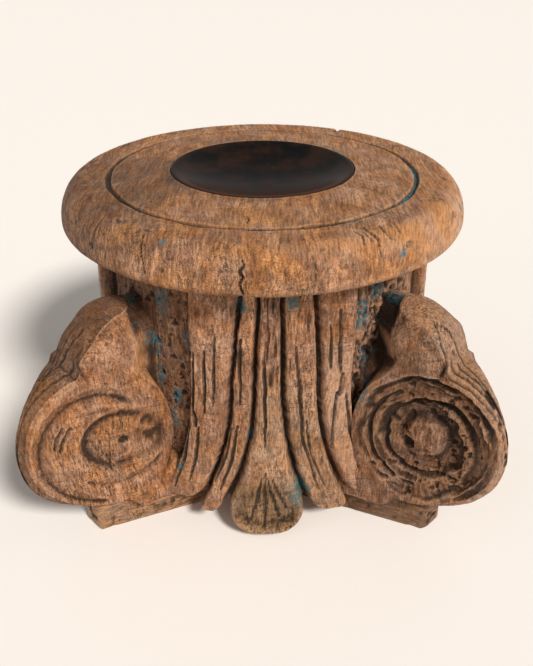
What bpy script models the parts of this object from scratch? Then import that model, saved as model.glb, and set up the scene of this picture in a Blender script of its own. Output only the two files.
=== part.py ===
"""Carved wooden column base with a shallow metal dish let into its top.

Units are metres, +Z is up and the origin is the middle of the underside.
The front face looks along -Y, and all four faces are alike.
"""

from math import cos, pi, radians, sin, sqrt

import bmesh
import bpy
from mathutils import Vector

# Overall height and the turned disc on top
HEIGHT = 0.175
DISC_RADIUS = 0.110
DISC_THICKNESS = 0.027
DISC_CROWN = 0.0025
DISC_SHOULDER_RADIUS = 0.0975
DISC_EDGE_HEIGHT = 0.0065
DISC_UNDERCUT = 0.010
DISC_SEGMENTS = 68

# The ring groove cut in the top of the disc
GROOVE_RADIUS = 0.0834
GROOVE_WIDTH = 0.0032
GROOVE_DEPTH = 0.0022

# The metal dish and the clearance it keeps to the wood
DISH_RADIUS = 0.050
DISH_DEPTH = 0.0095
DISH_WALL = 0.0016
DISH_RIM_WIDTH = 0.0022
DISH_FOOT_RADIUS = 0.022
DISH_CLEARANCE = 0.0003
DISH_SEGMENTS = 48
DISH_STEPS = 5

# The bell under the disc: a soft square, its ground measured from the axis
BELL_HALF_WIDTH = 0.0845
BELL_SQUARENESS = 2.6
BELL_FLARE = 0.004
BELL_UNDERSIDE = 0.024

# Leaf borders on one face, in degrees from its middle, at the top, the waist and the foot
WIDE_LEFT_OUTER = (-23.4, -23.4, -27.0)
WIDE_LEFT_INNER = (-6.0, -10.0, -17.5)
TONGUE_LEFT = (-0.7, -2.5, -9.8)
TONGUE_RIGHT = (6.1, 6.6, 11.8)
WIDE_RIGHT_INNER = (16.2, 18.3, 25.4)
WIDE_RIGHT_OUTER = (30.0, 29.0, 34.0)
WAIST_HEIGHT = 0.090

# Leaf thickness over the ground, and how far each curls out at its foot
WIDE_LEAF_RISE = 0.0085
NARROW_LEAF_RISE = 0.0070
TONGUE_RISE = 0.0085
WIDE_LEAF_CURL = 0.002
NARROW_LEAF_CURL = 0.008
TONGUE_CURL = 0.014
CURL_HEIGHT = 0.060
WIDE_LEAF_FOOT = 0.0190
NARROW_LEAF_FOOT = 0.0100
TONGUE_FOOT = 0.0030
LEAF_TIP_TUCK = 0.007
TONGUE_TIP_ROUND = 0.020
LEAF_TIP_ROUND = 0.007
LEAF_ROWS = 9

# The corner horns. Reach is measured along the diagonal
EYE_REACH = 0.126
EYE_HEIGHT = 0.0645
SCROLL_HALF_WIDTH = 0.0380
SCROLL_INNER_HALF_WIDTH = 0.0320
SCROLL_HALF_HEIGHT = 0.0420
HORN_HALF_THICKNESS = 0.0176
HORN_TAPER = 0.357
HORN_CROWN = 0.0045
HORN_ROOT = 0.074
NOSE_REACH = 0.112
NOSE_DROP = 0.010
NOSE_LENGTH = 0.013
NOSE_NECK = 0.0115
NOSE_HEIGHT = HEIGHT - DISC_THICKNESS - NOSE_DROP
NOSE_HALF_THICKNESS = 0.0120
NOSE_TIP_HALF_THICKNESS = 0.0075
STEM_HEIGHT = 0.0150
STEM_INSET = 0.012
HORN_LEAST_HALF = 0.003
CROWN_START = 0.005
CROWN_FULL = 0.035

# The scroll cut in both sides of each horn
EYE_BOSS = 0.36
EYE_SINK = 0.0070
BAND_SINK = 0.0050
SCROLL_GAP = 0.0120
SCROLL_EDGE = 0.12
SCROLL_TURNS = 1.25
SCROLL_START = 0.84
SCROLL_RINGS = (0.2, 0.34, 0.44, 0.58, 0.72, 0.86, 1.0)
SCROLL_LEAVE = 74.0
SCROLL_ARC_POINTS = 16
NOSE_POINTS = 6
HORN_STRIP_COLUMNS = 3

# The star-shaped foot plate
PLATE_THICKNESS = 0.0165
PLATE_CORNER_REACH = 0.1335
PLATE_CORNER_WIDTH = 0.0156
PLATE_NOTCH_DEPTH = 0.063
PLATE_CORNER_ROUND = 0.003

# How far pieces of the same wood run into each other
OVERLAP = 0.004


def clear_scene():
    for item in list(bpy.data.objects):
        bpy.data.objects.remove(item, do_unlink=True)


def principled(name, colour, roughness, metallic):
    material = bpy.data.materials.new(name)
    material.use_nodes = True
    shader = material.node_tree.nodes["Principled BSDF"]
    shader.inputs["Base Color"].default_value = (*colour, 1.0)
    shader.inputs["Roughness"].default_value = roughness
    shader.inputs["Metallic"].default_value = metallic
    material.diffuse_color = (*colour, 1.0)
    return material


def link_mesh(name, shape, material, smooth_angle=40.0):
    """Turns a bmesh into an object and shades its round parts smooth."""
    bmesh.ops.recalc_face_normals(shape, faces=shape.faces)
    mesh = bpy.data.meshes.new(name)
    shape.to_mesh(mesh)
    shape.free()
    mesh.materials.append(material)
    mesh.shade_smooth()
    mesh.set_sharp_from_angle(angle=radians(smooth_angle))
    item = bpy.data.objects.new(name, mesh)
    bpy.context.scene.collection.objects.link(item)
    return item


def as_helper(item):
    item.hide_render = True
    item.display_type = "WIRE"
    return item


def boolean(item, other, operation):
    modifier = item.modifiers.new(other.name, "BOOLEAN")
    modifier.operation = operation
    modifier.solver = "EXACT"
    modifier.object = other


def turned(profile, segments):
    """Spins an outline of (radius, height) points, both ends on the axis, into a closed solid."""
    shape = bmesh.new()
    points = [shape.verts.new((radius, 0.0, height)) for radius, height in profile]
    edges = [shape.edges.new(pair) for pair in zip(points, points[1:])]
    bmesh.ops.spin(
        shape,
        geom=points + edges,
        cent=(0.0, 0.0, 0.0),
        axis=(0.0, 0.0, 1.0),
        angle=2.0 * pi,
        steps=segments,
        use_merge=True,
    )
    bmesh.ops.remove_doubles(shape, verts=shape.verts, dist=1e-6)
    return shape


def stacked_rings(rings):
    """Joins closed rings of equal length, first to last, and caps both ends."""
    shape = bmesh.new()
    rows = [[shape.verts.new(point) for point in ring] for ring in rings]
    count = len(rows[0])
    for low, high in zip(rows, rows[1:]):
        for index in range(count):
            after = (index + 1) % count
            shape.faces.new((low[index], low[after], high[after], high[index]))
    shape.faces.new(rows[0])
    shape.faces.new(rows[-1])
    return shape


# The turned disc


def top_height(radius):
    """Height of the slightly crowned top at a radius inside the groove."""
    inside = (radius - DISH_RADIUS) / (GROOVE_RADIUS - DISH_RADIUS)
    return HEIGHT - DISC_CROWN * max(inside, 0.0)


def disc_profile():
    land = HEIGHT - DISC_CROWN
    underside = HEIGHT - DISC_THICKNESS
    outline = [(0.0, HEIGHT), (DISH_RADIUS, HEIGHT)]
    outline.append((GROOVE_RADIUS - GROOVE_WIDTH / 2, land))
    outline.append((GROOVE_RADIUS, land - GROOVE_DEPTH))
    outline.append((GROOVE_RADIUS + GROOVE_WIDTH / 2, land))
    widest = underside + DISC_EDGE_HEIGHT
    for step in range(7):
        turn = 0.5 * pi * step / 6
        reach = DISC_SHOULDER_RADIUS + (DISC_RADIUS - DISC_SHOULDER_RADIUS) * sin(turn)
        outline.append((reach, widest + (land - widest) * cos(turn)))
    for step in range(1, 4):
        turn = 0.5 * pi * step / 3
        reach = DISC_RADIUS - DISC_UNDERCUT * (1.0 - cos(turn))
        outline.append((reach, widest - DISC_EDGE_HEIGHT * sin(turn)))
    outline.append((0.0, underside))
    return outline


# The dish and the recess that it sits in


def dish_outline(grow):
    """Outer side of the dish from rim to foot, grown outward by grow."""
    radius = DISH_RADIUS + grow
    floor = HEIGHT - DISH_DEPTH - DISH_WALL - grow
    rim = HEIGHT - DISH_WALL - grow
    points = []
    for step in range(DISH_STEPS + 1):
        share = step / DISH_STEPS
        reach = radius + (DISH_FOOT_RADIUS + grow - radius) * share
        points.append((reach, floor + (rim - floor) * (1.0 - share) ** 2))
    return points


def dish_profile():
    inner = DISH_RADIUS - DISH_RIM_WIDTH
    hollow = []
    for step in range(DISH_STEPS + 1):
        share = step / DISH_STEPS
        hollow.append((inner * share, HEIGHT - DISH_DEPTH * (1.0 - share**2)))
    outside = dish_outline(0.0)
    rim = [(DISH_RADIUS, HEIGHT)]
    return hollow + rim + outside + [(0.0, outside[-1][1])]


def recess_profile():
    wall = dish_outline(DISH_CLEARANCE)
    mouth = (wall[0][0], HEIGHT + OVERLAP)
    return [(0.0, HEIGHT + OVERLAP), mouth] + wall + [(0.0, wall[-1][1])]


# The bell and its leaves


def ground_radius(angle, height):
    """Distance of the bell's ground from the axis, at an angle in radians from the face's middle."""
    power = BELL_SQUARENESS
    soft_square = (abs(cos(angle)) ** power + abs(sin(angle)) ** power) ** (-1.0 / power)
    top = HEIGHT - DISC_THICKNESS
    return (BELL_HALF_WIDTH + BELL_FLARE * (1.0 - height / top)) * soft_square


def between(stations, height):
    """Reads a (top, waist, foot) value at a height, with a smooth bend at the waist."""
    top, waist, foot = stations
    if height >= WAIST_HEIGHT:
        share = (height - WAIST_HEIGHT) / (HEIGHT - DISC_THICKNESS - WAIST_HEIGHT)
        return waist + (top - waist) * share
    share = (WAIST_HEIGHT - height) / (WAIST_HEIGHT - NARROW_LEAF_FOOT)
    return waist + (foot - waist) * share**2.6


def curl(height, amount):
    """Outward sweep of a leaf towards its foot."""
    share = max(CURL_HEIGHT - height, 0.0) / CURL_HEIGHT
    return amount * share**1.6


LEAF_ORDER = (
    "ground_left",
    "wide_left",
    "narrow_left",
    "tongue",
    "narrow_right",
    "wide_right",
    "ground_right",
)


def leaf_columns():
    """One face as (name, place across the leaf, rise share) columns, left to right."""
    across = ((0.0, 0.0), (0.17, 0.82), (0.5, 1.0), (0.83, 0.82))
    columns = [("ground_left", share, 0.0) for share in (0.0, 0.5)]
    for name in LEAF_ORDER[1:-1]:
        columns += [(name, share, rise) for share, rise in across]
    columns += [("ground_right", share, 0.0) for share in (0.0, 0.5)]
    return columns


def leaf_limits(name, height):
    """Left and right border of a named column group in degrees from the face's middle."""
    lines = [WIDE_LEFT_OUTER, WIDE_LEFT_INNER, TONGUE_LEFT]
    lines += [TONGUE_RIGHT, WIDE_RIGHT_INNER, WIDE_RIGHT_OUTER]
    angles = [-45.0] + [between(line, height) for line in lines] + [45.0]
    place = LEAF_ORDER.index(name)
    return angles[place], angles[place + 1]


def leaf_measures(name):
    """Rise, curl and foot height of a column group."""
    if name.startswith("wide"):
        return WIDE_LEAF_RISE, WIDE_LEAF_CURL, WIDE_LEAF_FOOT
    if name.startswith("narrow"):
        return NARROW_LEAF_RISE, NARROW_LEAF_CURL, NARROW_LEAF_FOOT
    if name == "tongue":
        return TONGUE_RISE, TONGUE_CURL, TONGUE_FOOT
    return 0.0, 0.0, WIDE_LEAF_FOOT


def bell_point(name, share, rise_share, level, face):
    """A point of the bell: level runs from 0 at the foot to 1 under the disc."""
    rise, sweep, foot = leaf_measures(name)
    tip_round = TONGUE_TIP_ROUND if name == "tongue" else LEAF_TIP_ROUND
    edge_foot = foot + (1.0 - rise_share) * tip_round
    top = HEIGHT - DISC_THICKNESS + OVERLAP
    height = edge_foot + (top - edge_foot) * level**1.3
    left, right = leaf_limits(name, height)
    angle = radians(left + (right - left) * share)
    radius = ground_radius(angle, height) + rise * rise_share
    radius += curl(height, sweep) * (0.35 + 0.65 * rise_share)
    if level == 0.0:
        radius -= LEAF_TIP_TUCK * (0.4 + 0.6 * rise_share)
    turn = angle + face * 0.5 * pi
    return Vector((radius * sin(turn), -radius * cos(turn), height))


def bell_shape():
    columns = leaf_columns()
    rings = []
    core = PLATE_NOTCH_DEPTH * 0.8
    under = []
    for face in range(4):
        for name, share, rise_share in columns:
            left, right = leaf_limits(name, WIDE_LEAF_FOOT)
            turn = radians(left + (right - left) * share) + face * 0.5 * pi
            under.append(Vector((core * sin(turn), -core * cos(turn), BELL_UNDERSIDE)))
    rings.append([Vector((p.x, p.y, PLATE_THICKNESS * 0.5)) for p in under])
    rings.append(under)
    for row in range(LEAF_ROWS + 1):
        level = row / LEAF_ROWS
        ring = []
        for face in range(4):
            for name, share, rise_share in columns:
                ring.append(bell_point(name, share, rise_share, level, face))
        rings.append(ring)
    return stacked_rings(rings)


# The corner horns


def scroll_rim(turn):
    reach = EYE_REACH + SCROLL_HALF_WIDTH * cos(turn)
    return Vector((reach, EYE_HEIGHT + SCROLL_HALF_HEIGHT * sin(turn)))


def nose_curve(share):
    """Outline of the horn above its scroll, as a cubic curve from the scroll's shoulder to the root."""
    shoulder = scroll_rim(radians(SCROLL_LEAVE))
    lift = NOSE_HEIGHT - shoulder.y
    first = Vector((shoulder.x - NOSE_NECK, shoulder.y + 0.10 * lift))
    second = Vector((NOSE_REACH, NOSE_HEIGHT - 0.15 * lift))
    last = Vector((NOSE_REACH - NOSE_LENGTH, NOSE_HEIGHT))
    rest = 1.0 - share
    near = shoulder * rest**3 + first * (3.0 * share * rest**2)
    far = second * (3.0 * share**2 * rest) + last * share**3
    return near + far


def horn_outline():
    """Side view of a horn as (reach, height) points: stem, scroll, nose, then down inside the bell."""
    outline = []
    for share in (0.0, 0.5):
        reach = HORN_ROOT + (EYE_REACH - STEM_INSET - HORN_ROOT) * share
        outline.append(Vector((reach, STEM_HEIGHT)))
    start, end = radians(-98.0), radians(SCROLL_LEAVE)
    for step in range(SCROLL_ARC_POINTS):
        outline.append(scroll_rim(start + (end - start) * step / (SCROLL_ARC_POINTS - 1)))
    for step in range(1, NOSE_POINTS + 1):
        outline.append(nose_curve(step / NOSE_POINTS))
    for share in (0.0, 0.25, 0.5, 0.75):
        height = NOSE_HEIGHT + (STEM_HEIGHT - NOSE_HEIGHT) * share
        outline.append(Vector((HORN_ROOT, height)))
    return outline


def smooth_step(low, high, value):
    share = min(max((value - low) / (high - low), 0.0), 1.0)
    return share * share * (3.0 - 2.0 * share)


def scroll_place(reach, height):
    """Place on the scroll as shares of its half width and half height, and their distance from the eye."""
    half_width = SCROLL_HALF_WIDTH if reach > EYE_REACH else SCROLL_INNER_HALF_WIDTH
    across = (reach - EYE_REACH) / half_width
    up = (height - EYE_HEIGHT) / SCROLL_HALF_HEIGHT
    return across, up, sqrt(across**2 + up**2)


def scroll_depth(reach, height):
    """Depth cut into the scroll at a point of the horn's side view."""
    across, up, ring = scroll_place(reach, height)
    angle = Vector((across, up)).angle_signed(Vector((0.0, -1.0)), 0.0) % (2.0 * pi)
    depth = EYE_SINK * min((ring / EYE_BOSS) ** 2, 1.0)
    depth *= 1.0 - smooth_step(EYE_BOSS * 1.1, EYE_BOSS * 1.6, ring)
    step_in = (SCROLL_START - EYE_BOSS * 1.2) / SCROLL_TURNS
    for turn in range(2):
        line = SCROLL_START - step_in * (turn + angle / (2.0 * pi))
        if line > EYE_BOSS:
            depth = max(depth, BAND_SINK * (1.0 - min(abs(ring - line) / 0.12, 1.0)))
    return depth


def horn_half_thickness(reach, height):
    """Half the horn's thickness with its carving: the scroll stands out from a thinner nose."""
    across, up, ring = scroll_place(reach, height)
    wedge = HORN_HALF_THICKNESS - HORN_TAPER * (reach - EYE_REACH)
    rise = smooth_step(EYE_HEIGHT + SCROLL_HALF_HEIGHT, NOSE_HEIGHT, height)
    nose = NOSE_HALF_THICKNESS + (NOSE_TIP_HALF_THICKNESS - NOSE_HALF_THICKNESS) * rise
    stem = smooth_step(-0.35, -0.75, up) if across < 0.3 else 0.0
    spread = SCROLL_EDGE + 0.24 * smooth_step(-0.6, -0.1, across)
    outside = smooth_step(1.0, 1.0 + spread, ring) * (1.0 - stem)
    back = nose if up > 0.4 else min(nose, wedge - SCROLL_GAP)
    carved = wedge - scroll_depth(reach, height) * (1.0 - outside)
    return max(carved + (min(back, carved) - carved) * outside, HORN_LEAST_HALF)


def horn_point(reach, height, aside, corner):
    turn = radians(45.0) + corner * 0.5 * pi
    out = Vector((sin(turn), -cos(turn)))
    side = Vector((cos(turn), sin(turn)))
    plan = out * reach + side * aside
    return (plan.x, plan.y, height)


def horn_spots(rim):
    """Points of the side view from the eye out to one point of the outline, along a straight line."""
    eye = Vector((EYE_REACH, EYE_HEIGHT))
    ring = scroll_place(rim.x, rim.y)[2]
    on_scroll = ring < 1.05
    spots = []
    for share in SCROLL_RINGS:
        spots.append(rim if on_scroll and share == 1.0 else eye.lerp(rim, share / ring))
    foot_of_edge = min((1.0 + SCROLL_EDGE) / ring, 0.95)
    spots.append(rim if on_scroll else eye.lerp(rim, foot_of_edge))
    spots.append(rim)
    return spots


def add_face(shape, corners):
    """Adds a face, leaving out corners that fall together."""
    kept = []
    for corner in corners:
        if corner not in kept:
            kept.append(corner)
    if len(kept) > 2:
        shape.faces.new(kept)


def horn_side(shape, outline, corner, sign):
    """One carved side of a horn. Returns the vertices of its outline."""
    half = horn_half_thickness(EYE_REACH, EYE_HEIGHT)
    centre = shape.verts.new(horn_point(EYE_REACH, EYE_HEIGHT, sign * half, corner))
    lines = []
    for rim in outline:
        line = [centre]
        last = None
        for spot in horn_spots(rim):
            if last is None or (spot - last).length > 1e-6:
                half = horn_half_thickness(spot.x, spot.y)
                line.append(shape.verts.new(horn_point(spot.x, spot.y, sign * half, corner)))
            else:
                line.append(line[-1])
            last = spot
        lines.append(line)
    for index, line in enumerate(lines):
        after = lines[(index + 1) % len(lines)]
        for step in range(len(line) - 1):
            add_face(shape, (line[step], line[step + 1], after[step + 1], after[step]))
    return [line[-1] for line in lines]


def horn_shape(corner):
    shape = bmesh.new()
    outline = horn_outline()
    count = len(outline)
    eye = Vector((EYE_REACH, EYE_HEIGHT))
    near = horn_side(shape, outline, corner, -1.0)
    far = horn_side(shape, outline, corner, 1.0)
    turn = radians(45.0) + corner * 0.5 * pi
    columns = [near]
    for column in range(1, HORN_STRIP_COLUMNS):
        share = column / HORN_STRIP_COLUMNS
        bulge = HORN_CROWN * 4.0 * share * (1.0 - share)
        ring = []
        for index, rim in enumerate(outline):
            out = (rim - eye).normalized()
            free = smooth_step(HORN_ROOT + CROWN_START, HORN_ROOT + CROWN_FULL, rim.x)
            push = Vector((sin(turn) * out.x, -cos(turn) * out.x, out.y)) * bulge * free
            ring.append(shape.verts.new(near[index].co.lerp(far[index].co, share) + push))
        columns.append(ring)
    columns.append(far)
    for low, high in zip(columns, columns[1:]):
        for index in range(count):
            after = (index + 1) % count
            shape.faces.new((low[index], low[after], high[after], high[index]))
    return shape


# The foot plate


def plate_shape():
    """A four-pointed star with straight sides and cut corners, pushed up from the ground."""
    shape = bmesh.new()
    half_cut = 0.5 * PLATE_CORNER_WIDTH
    ring = []
    for corner in range(4):
        turn = radians(45.0) + corner * 0.5 * pi
        out = Vector((sin(turn), -cos(turn)))
        side = Vector((cos(turn), sin(turn)))
        notch_turn = corner * 0.5 * pi
        notch = Vector((sin(notch_turn), -cos(notch_turn))) * PLATE_NOTCH_DEPTH
        ring.append(notch)
        for sign in (-1.0, 1.0):
            corner_point = out * PLATE_CORNER_REACH + side * sign * half_cut
            along = corner_point - side * sign * PLATE_CORNER_ROUND
            back = corner_point - out * PLATE_CORNER_ROUND
            pair = [back, along] if sign < 0.0 else [along, back]
            ring += pair
    low = [shape.verts.new((point.x, point.y, 0.0)) for point in ring]
    face = shape.faces.new(low)
    pushed = bmesh.ops.extrude_face_region(shape, geom=[face])
    lifted = [part for part in pushed["geom"] if isinstance(part, bmesh.types.BMVert)]
    bmesh.ops.translate(shape, verts=lifted, vec=(0.0, 0.0, PLATE_THICKNESS))
    return shape


# The two pieces


def build_carved_base(wood):
    base = link_mesh("carved_base", turned(disc_profile(), DISC_SEGMENTS), wood)
    bell = as_helper(link_mesh("bell", bell_shape(), wood))
    boolean(base, bell, "UNION")
    for corner in range(4):
        horn = as_helper(link_mesh("horn_%d" % corner, horn_shape(corner), wood))
        boolean(base, horn, "UNION")
    plate = as_helper(link_mesh("foot_plate", plate_shape(), wood))
    boolean(base, plate, "UNION")
    recess = as_helper(link_mesh("recess", turned(recess_profile(), DISH_SEGMENTS), wood))
    boolean(base, recess, "DIFFERENCE")
    return base


def build_dish(metal):
    return link_mesh("metal_dish", turned(dish_profile(), DISH_SEGMENTS), metal)


def main():
    clear_scene()
    wood = principled("old carved wood", (0.33, 0.17, 0.085), 0.72, 0.0)
    metal = principled("dark glossy metal", (0.012, 0.010, 0.010), 0.18, 0.85)
    build_carved_base(wood)
    build_dish(metal)


main()
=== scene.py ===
"""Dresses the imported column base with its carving, its old wood and its dark metal dish, on a pale stage."""

from math import pi, radians
from types import SimpleNamespace

import bmesh
import bpy
import numpy as np
from bpy.props import FloatProperty, FloatVectorProperty, IntProperty, PointerProperty
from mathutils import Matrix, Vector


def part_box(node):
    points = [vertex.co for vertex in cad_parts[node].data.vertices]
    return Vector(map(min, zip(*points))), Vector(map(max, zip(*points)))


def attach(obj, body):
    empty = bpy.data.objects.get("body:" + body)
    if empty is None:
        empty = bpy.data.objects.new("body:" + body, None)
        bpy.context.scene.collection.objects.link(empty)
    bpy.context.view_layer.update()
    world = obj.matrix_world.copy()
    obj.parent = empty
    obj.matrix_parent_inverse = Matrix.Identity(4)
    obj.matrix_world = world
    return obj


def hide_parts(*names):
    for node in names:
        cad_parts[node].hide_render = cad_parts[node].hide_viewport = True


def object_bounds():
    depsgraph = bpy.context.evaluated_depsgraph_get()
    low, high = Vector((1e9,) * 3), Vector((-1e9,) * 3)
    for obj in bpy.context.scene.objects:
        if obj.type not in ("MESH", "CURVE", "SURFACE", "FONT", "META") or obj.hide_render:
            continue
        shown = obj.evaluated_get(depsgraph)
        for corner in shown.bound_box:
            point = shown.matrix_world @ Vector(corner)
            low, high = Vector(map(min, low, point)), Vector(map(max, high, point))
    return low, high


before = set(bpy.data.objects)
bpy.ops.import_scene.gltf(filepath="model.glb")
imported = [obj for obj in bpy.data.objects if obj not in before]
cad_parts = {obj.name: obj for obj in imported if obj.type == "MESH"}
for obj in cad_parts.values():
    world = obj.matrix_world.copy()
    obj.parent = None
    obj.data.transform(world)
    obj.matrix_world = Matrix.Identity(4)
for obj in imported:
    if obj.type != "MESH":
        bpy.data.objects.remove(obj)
CAD_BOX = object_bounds()
DISH_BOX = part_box("metal_dish")

bl_info = {
    "name": "Carved column base",
    "version": (1, 0, 0),
    "blender": (4, 5, 0),
    "location": "View3D > Sidebar > Column base",
    "description": "Builds the carved surface of an old wooden column base around its plain solids",
    "category": "Object",
}


# Sizes and colours that a user may change


def length(name, description, default):
    return FloatProperty(name=name, description=description, default=default, unit="LENGTH", precision=4)


def colour(name, description, default):
    return FloatVectorProperty(
        name=name, description=description, default=default, subtype="COLOR", size=3, min=0.0, max=1.0
    )


class DiscSizes(bpy.types.PropertyGroup):
    """Sizes of the turned disc on top."""

    height: length("Height", "Overall height, to the rim of the dish", CAD_BOX[1][2])
    radius: length("Disc radius", "Widest radius of the disc", 0.110)
    thickness: length("Disc thickness", "Height of the disc's edge", 0.027)
    crown: length("Crown", "How much lower the land lies than the middle", 0.0025)
    shoulder: length("Shoulder radius", "Where the top turns over into the side", 0.0975)
    edge: length("Edge height", "Height of the widest line over the underside", 0.0065)
    undercut: length("Undercut", "How far the lower edge turns in", 0.010)
    groove_radius: length("Groove radius", "Radius of the ring cut in the top", 0.0834)
    groove_width: length("Groove width", "Width of the ring cut in the top", 0.0034)
    groove_depth: length("Groove depth", "Depth of the ring cut in the top", 0.0022)
    mouth: length("Mouth radius", "Radius of the hole that takes the dish", 0.0503)


class BellSizes(bpy.types.PropertyGroup):
    """Sizes of the leafy bell under the disc."""

    half_width: length("Half width", "Distance of a face's ground from the axis", 0.0845)
    flare: length("Flare", "How much wider the ground is at the foot", 0.004)
    wide_rise: length("Wide leaf rise", "Height of the wide leaves over the ground", 0.0085)
    narrow_rise: length("Narrow leaf rise", "Height of the narrow leaves over the ground", 0.0070)
    tongue_rise: length("Tongue rise", "Height of the middle tongue over the ground", 0.0085)
    cut_depth: length("Cut depth", "Depth of the veins cut in the leaves", 0.0021)
    erosion: length("Erosion", "Depth of the worm-eaten ground", 0.0045)


class HornSizes(bpy.types.PropertyGroup):
    """Sizes of the corner horns and their scrolls."""

    eye_reach: length("Eye reach", "Distance of the scroll's eye from the axis, on the diagonal", 0.126)
    eye_height: length("Eye height", "Height of the scroll's eye", 0.0645)
    half_width: length("Scroll half width", "From the eye to the scroll's outer side", 0.038)
    inner_half_width: length("Scroll inner half width", "From the eye to the scroll's inner side", 0.032)
    half_height: length("Scroll half height", "From the eye to the scroll's top", 0.042)
    half_thickness: length("Half thickness", "Half the horn's thickness at the eye", 0.0176)
    crown: length("Crown", "Bulge of the outer strip", 0.0038)
    root: length("Root", "Where the horn starts inside the bell", 0.074)
    nose_reach: length("Nose reach", "Reach of the horn's nose", 0.112)
    nose_height: length("Nose height", "Height of the horn's nose, under the disc", 0.130)
    cut_depth: length("Cut depth", "Depth of the scroll's grooves", 0.0046)
    eye_sink: length("Eye sink", "Depth of the hollow round the eye", 0.0070)


class PlateSizes(bpy.types.PropertyGroup):
    """Sizes of the star-shaped foot plate."""

    thickness: length("Thickness", "Thickness of the foot plate", 0.0165)
    corner_reach: length("Corner reach", "Distance of a cut corner from the axis", 0.1335)
    corner_width: length("Corner width", "Width of a cut corner", 0.0156)
    notch: length("Notch reach", "Distance of a side's middle from the axis", 0.063)


class DishSizes(bpy.types.PropertyGroup):
    """Sizes of the dark metal dish."""

    radius: length("Radius", "Outer radius of the dish's rim", DISH_BOX[1][0])
    drop: length("Drop", "Whole height of the dish", DISH_BOX[1][2] - DISH_BOX[0][2])
    segments: IntProperty(
        name="Segments", description="Sides of the turned dish", default=160, min=24, max=400
    )


class WoodLook(bpy.types.PropertyGroup):
    """Colours of the old wood."""

    # The light wood colour also paints the highlights that the wear marks carry
    light: colour("Light wood", "Worn, sun-bleached wood", (0.66, 0.365, 0.200))
    middle: colour("Middle wood", "Most of the wood", (0.340, 0.142, 0.056))
    dark: colour("Dark wood", "Dark streaks and stains", (0.085, 0.030, 0.012))
    # This colour paints grime in the cuts and the painted shade that the dirt marks carry
    dirt_and_shade: colour("Dirt_And_Shade", "Grime in the cuts", (0.026, 0.014, 0.008))
    paint: colour("Paint", "Green-blue paint left in the hollows", (0.045, 0.190, 0.230))
    fibre_width: length("Fibre width", "Spacing of the finest fibres", 0.0011)
    relief: length("Fibre relief", "Depth of the fibres in the shading", 0.0015)


class StudioLook(bpy.types.PropertyGroup):
    """Light, floor and camera of the stage."""

    key: FloatProperty(name="Key", description="Strength of the light from the right", default=3.4, min=0.0)
    fill: FloatProperty(name="Fill", description="Strength of the light from the left", default=0.12, min=0.0)
    sky: FloatProperty(name="Sky", description="Strength of the even light all round", default=0.31, min=0.0)
    floor: colour("Floor", "Colour of the floor", (0.93, 0.88, 0.83))
    lens: FloatProperty(
        name="Lens", description="Focal length on a 36 mm sensor", default=37.84, unit="CAMERA"
    )


def in_mm(group):
    """The group's sizes in millimetres, under their own names."""
    sizes = SimpleNamespace()
    for name in group.__annotations__:
        setattr(sizes, name, getattr(group, name) * 1000.0)
    return sizes


# Repeatable noise and cuts, all in millimetres


def smooth_step(low, high, value):
    share = np.clip((value - low) / (high - low), 0.0, 1.0)
    return share * share * (3.0 - 2.0 * share)


def lattice(x, y, z, seed):
    """A repeatable value from 0 to 1 at each whole-number place."""
    mixed = (x * 73856093) ^ (y * 19349663) ^ (z * 83492791) ^ (seed * 2654435761)
    mixed = mixed & 0xFFFFFFFF
    mixed = ((mixed ^ (mixed >> 15)) * 0x2C1B3C6D) & 0xFFFFFFFF
    mixed = ((mixed ^ (mixed >> 12)) * 0x297A2D39) & 0xFFFFFFFF
    mixed = mixed ^ (mixed >> 15)
    return (mixed & 0xFFFFFF) / float(0xFFFFFF)


def noise(x, y, z, seed):
    """Smooth noise from -1 to 1 with features one unit across."""
    x, y, z = np.broadcast_arrays(x, y, z)
    corner = [np.floor(value).astype(np.int64) for value in (x, y, z)]
    part = [value - low for value, low in zip((x, y, z), corner)]
    part = [share * share * (3.0 - 2.0 * share) for share in part]
    total = np.zeros(x.shape)
    for dx in (0, 1):
        for dy in (0, 1):
            for dz in (0, 1):
                weight = part[0] if dx else 1.0 - part[0]
                weight = weight * (part[1] if dy else 1.0 - part[1])
                weight = weight * (part[2] if dz else 1.0 - part[2])
                total += weight * lattice(corner[0] + dx, corner[1] + dy, corner[2] + dz, seed)
    return total * 2.0 - 1.0


def layered(x, y, z, seed, layers=3):
    """Noise with finer and finer layers added."""
    total = 0.0
    strength = 1.0
    for layer in range(layers):
        total = total + noise(x * 2.0**layer, y * 2.0**layer, z * 2.0**layer, seed + layer) * strength
        strength *= 0.5
    return total / (2.0 - 2.0 * strength)


def near_line(across, up, line):
    """Distance of each place from a bent line, and how far along the line the nearest point is."""
    best = np.full(np.shape(across), 1e9)
    along = np.zeros(np.shape(across))
    parts = len(line) - 1
    for index in range(parts):
        start, end = line[index], line[index + 1]
        step = (end[0] - start[0], end[1] - start[1])
        share = (across - start[0]) * step[0] + (up - start[1]) * step[1]
        share = np.clip(share / (step[0] ** 2 + step[1] ** 2), 0.0, 1.0)
        gap = np.hypot(across - start[0] - share * step[0], up - start[1] - share * step[1])
        closer = gap < best
        best = np.where(closer, gap, best)
        along = np.where(closer, (index + share) / parts, along)
    return best, along


def gouged(across, up, line, width):
    """A gouge cut along a line: 1 in its middle, 0 beside it, thinner towards both ends."""
    gap, along = near_line(across, up, line)
    half = 0.5 * width * (0.4 + 0.6 * np.sin(pi * np.clip(along, 0.03, 0.97)))
    return smooth_step(0.0, 1.0, np.clip(1.0 - gap / half, 0.0, 1.0))


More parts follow.
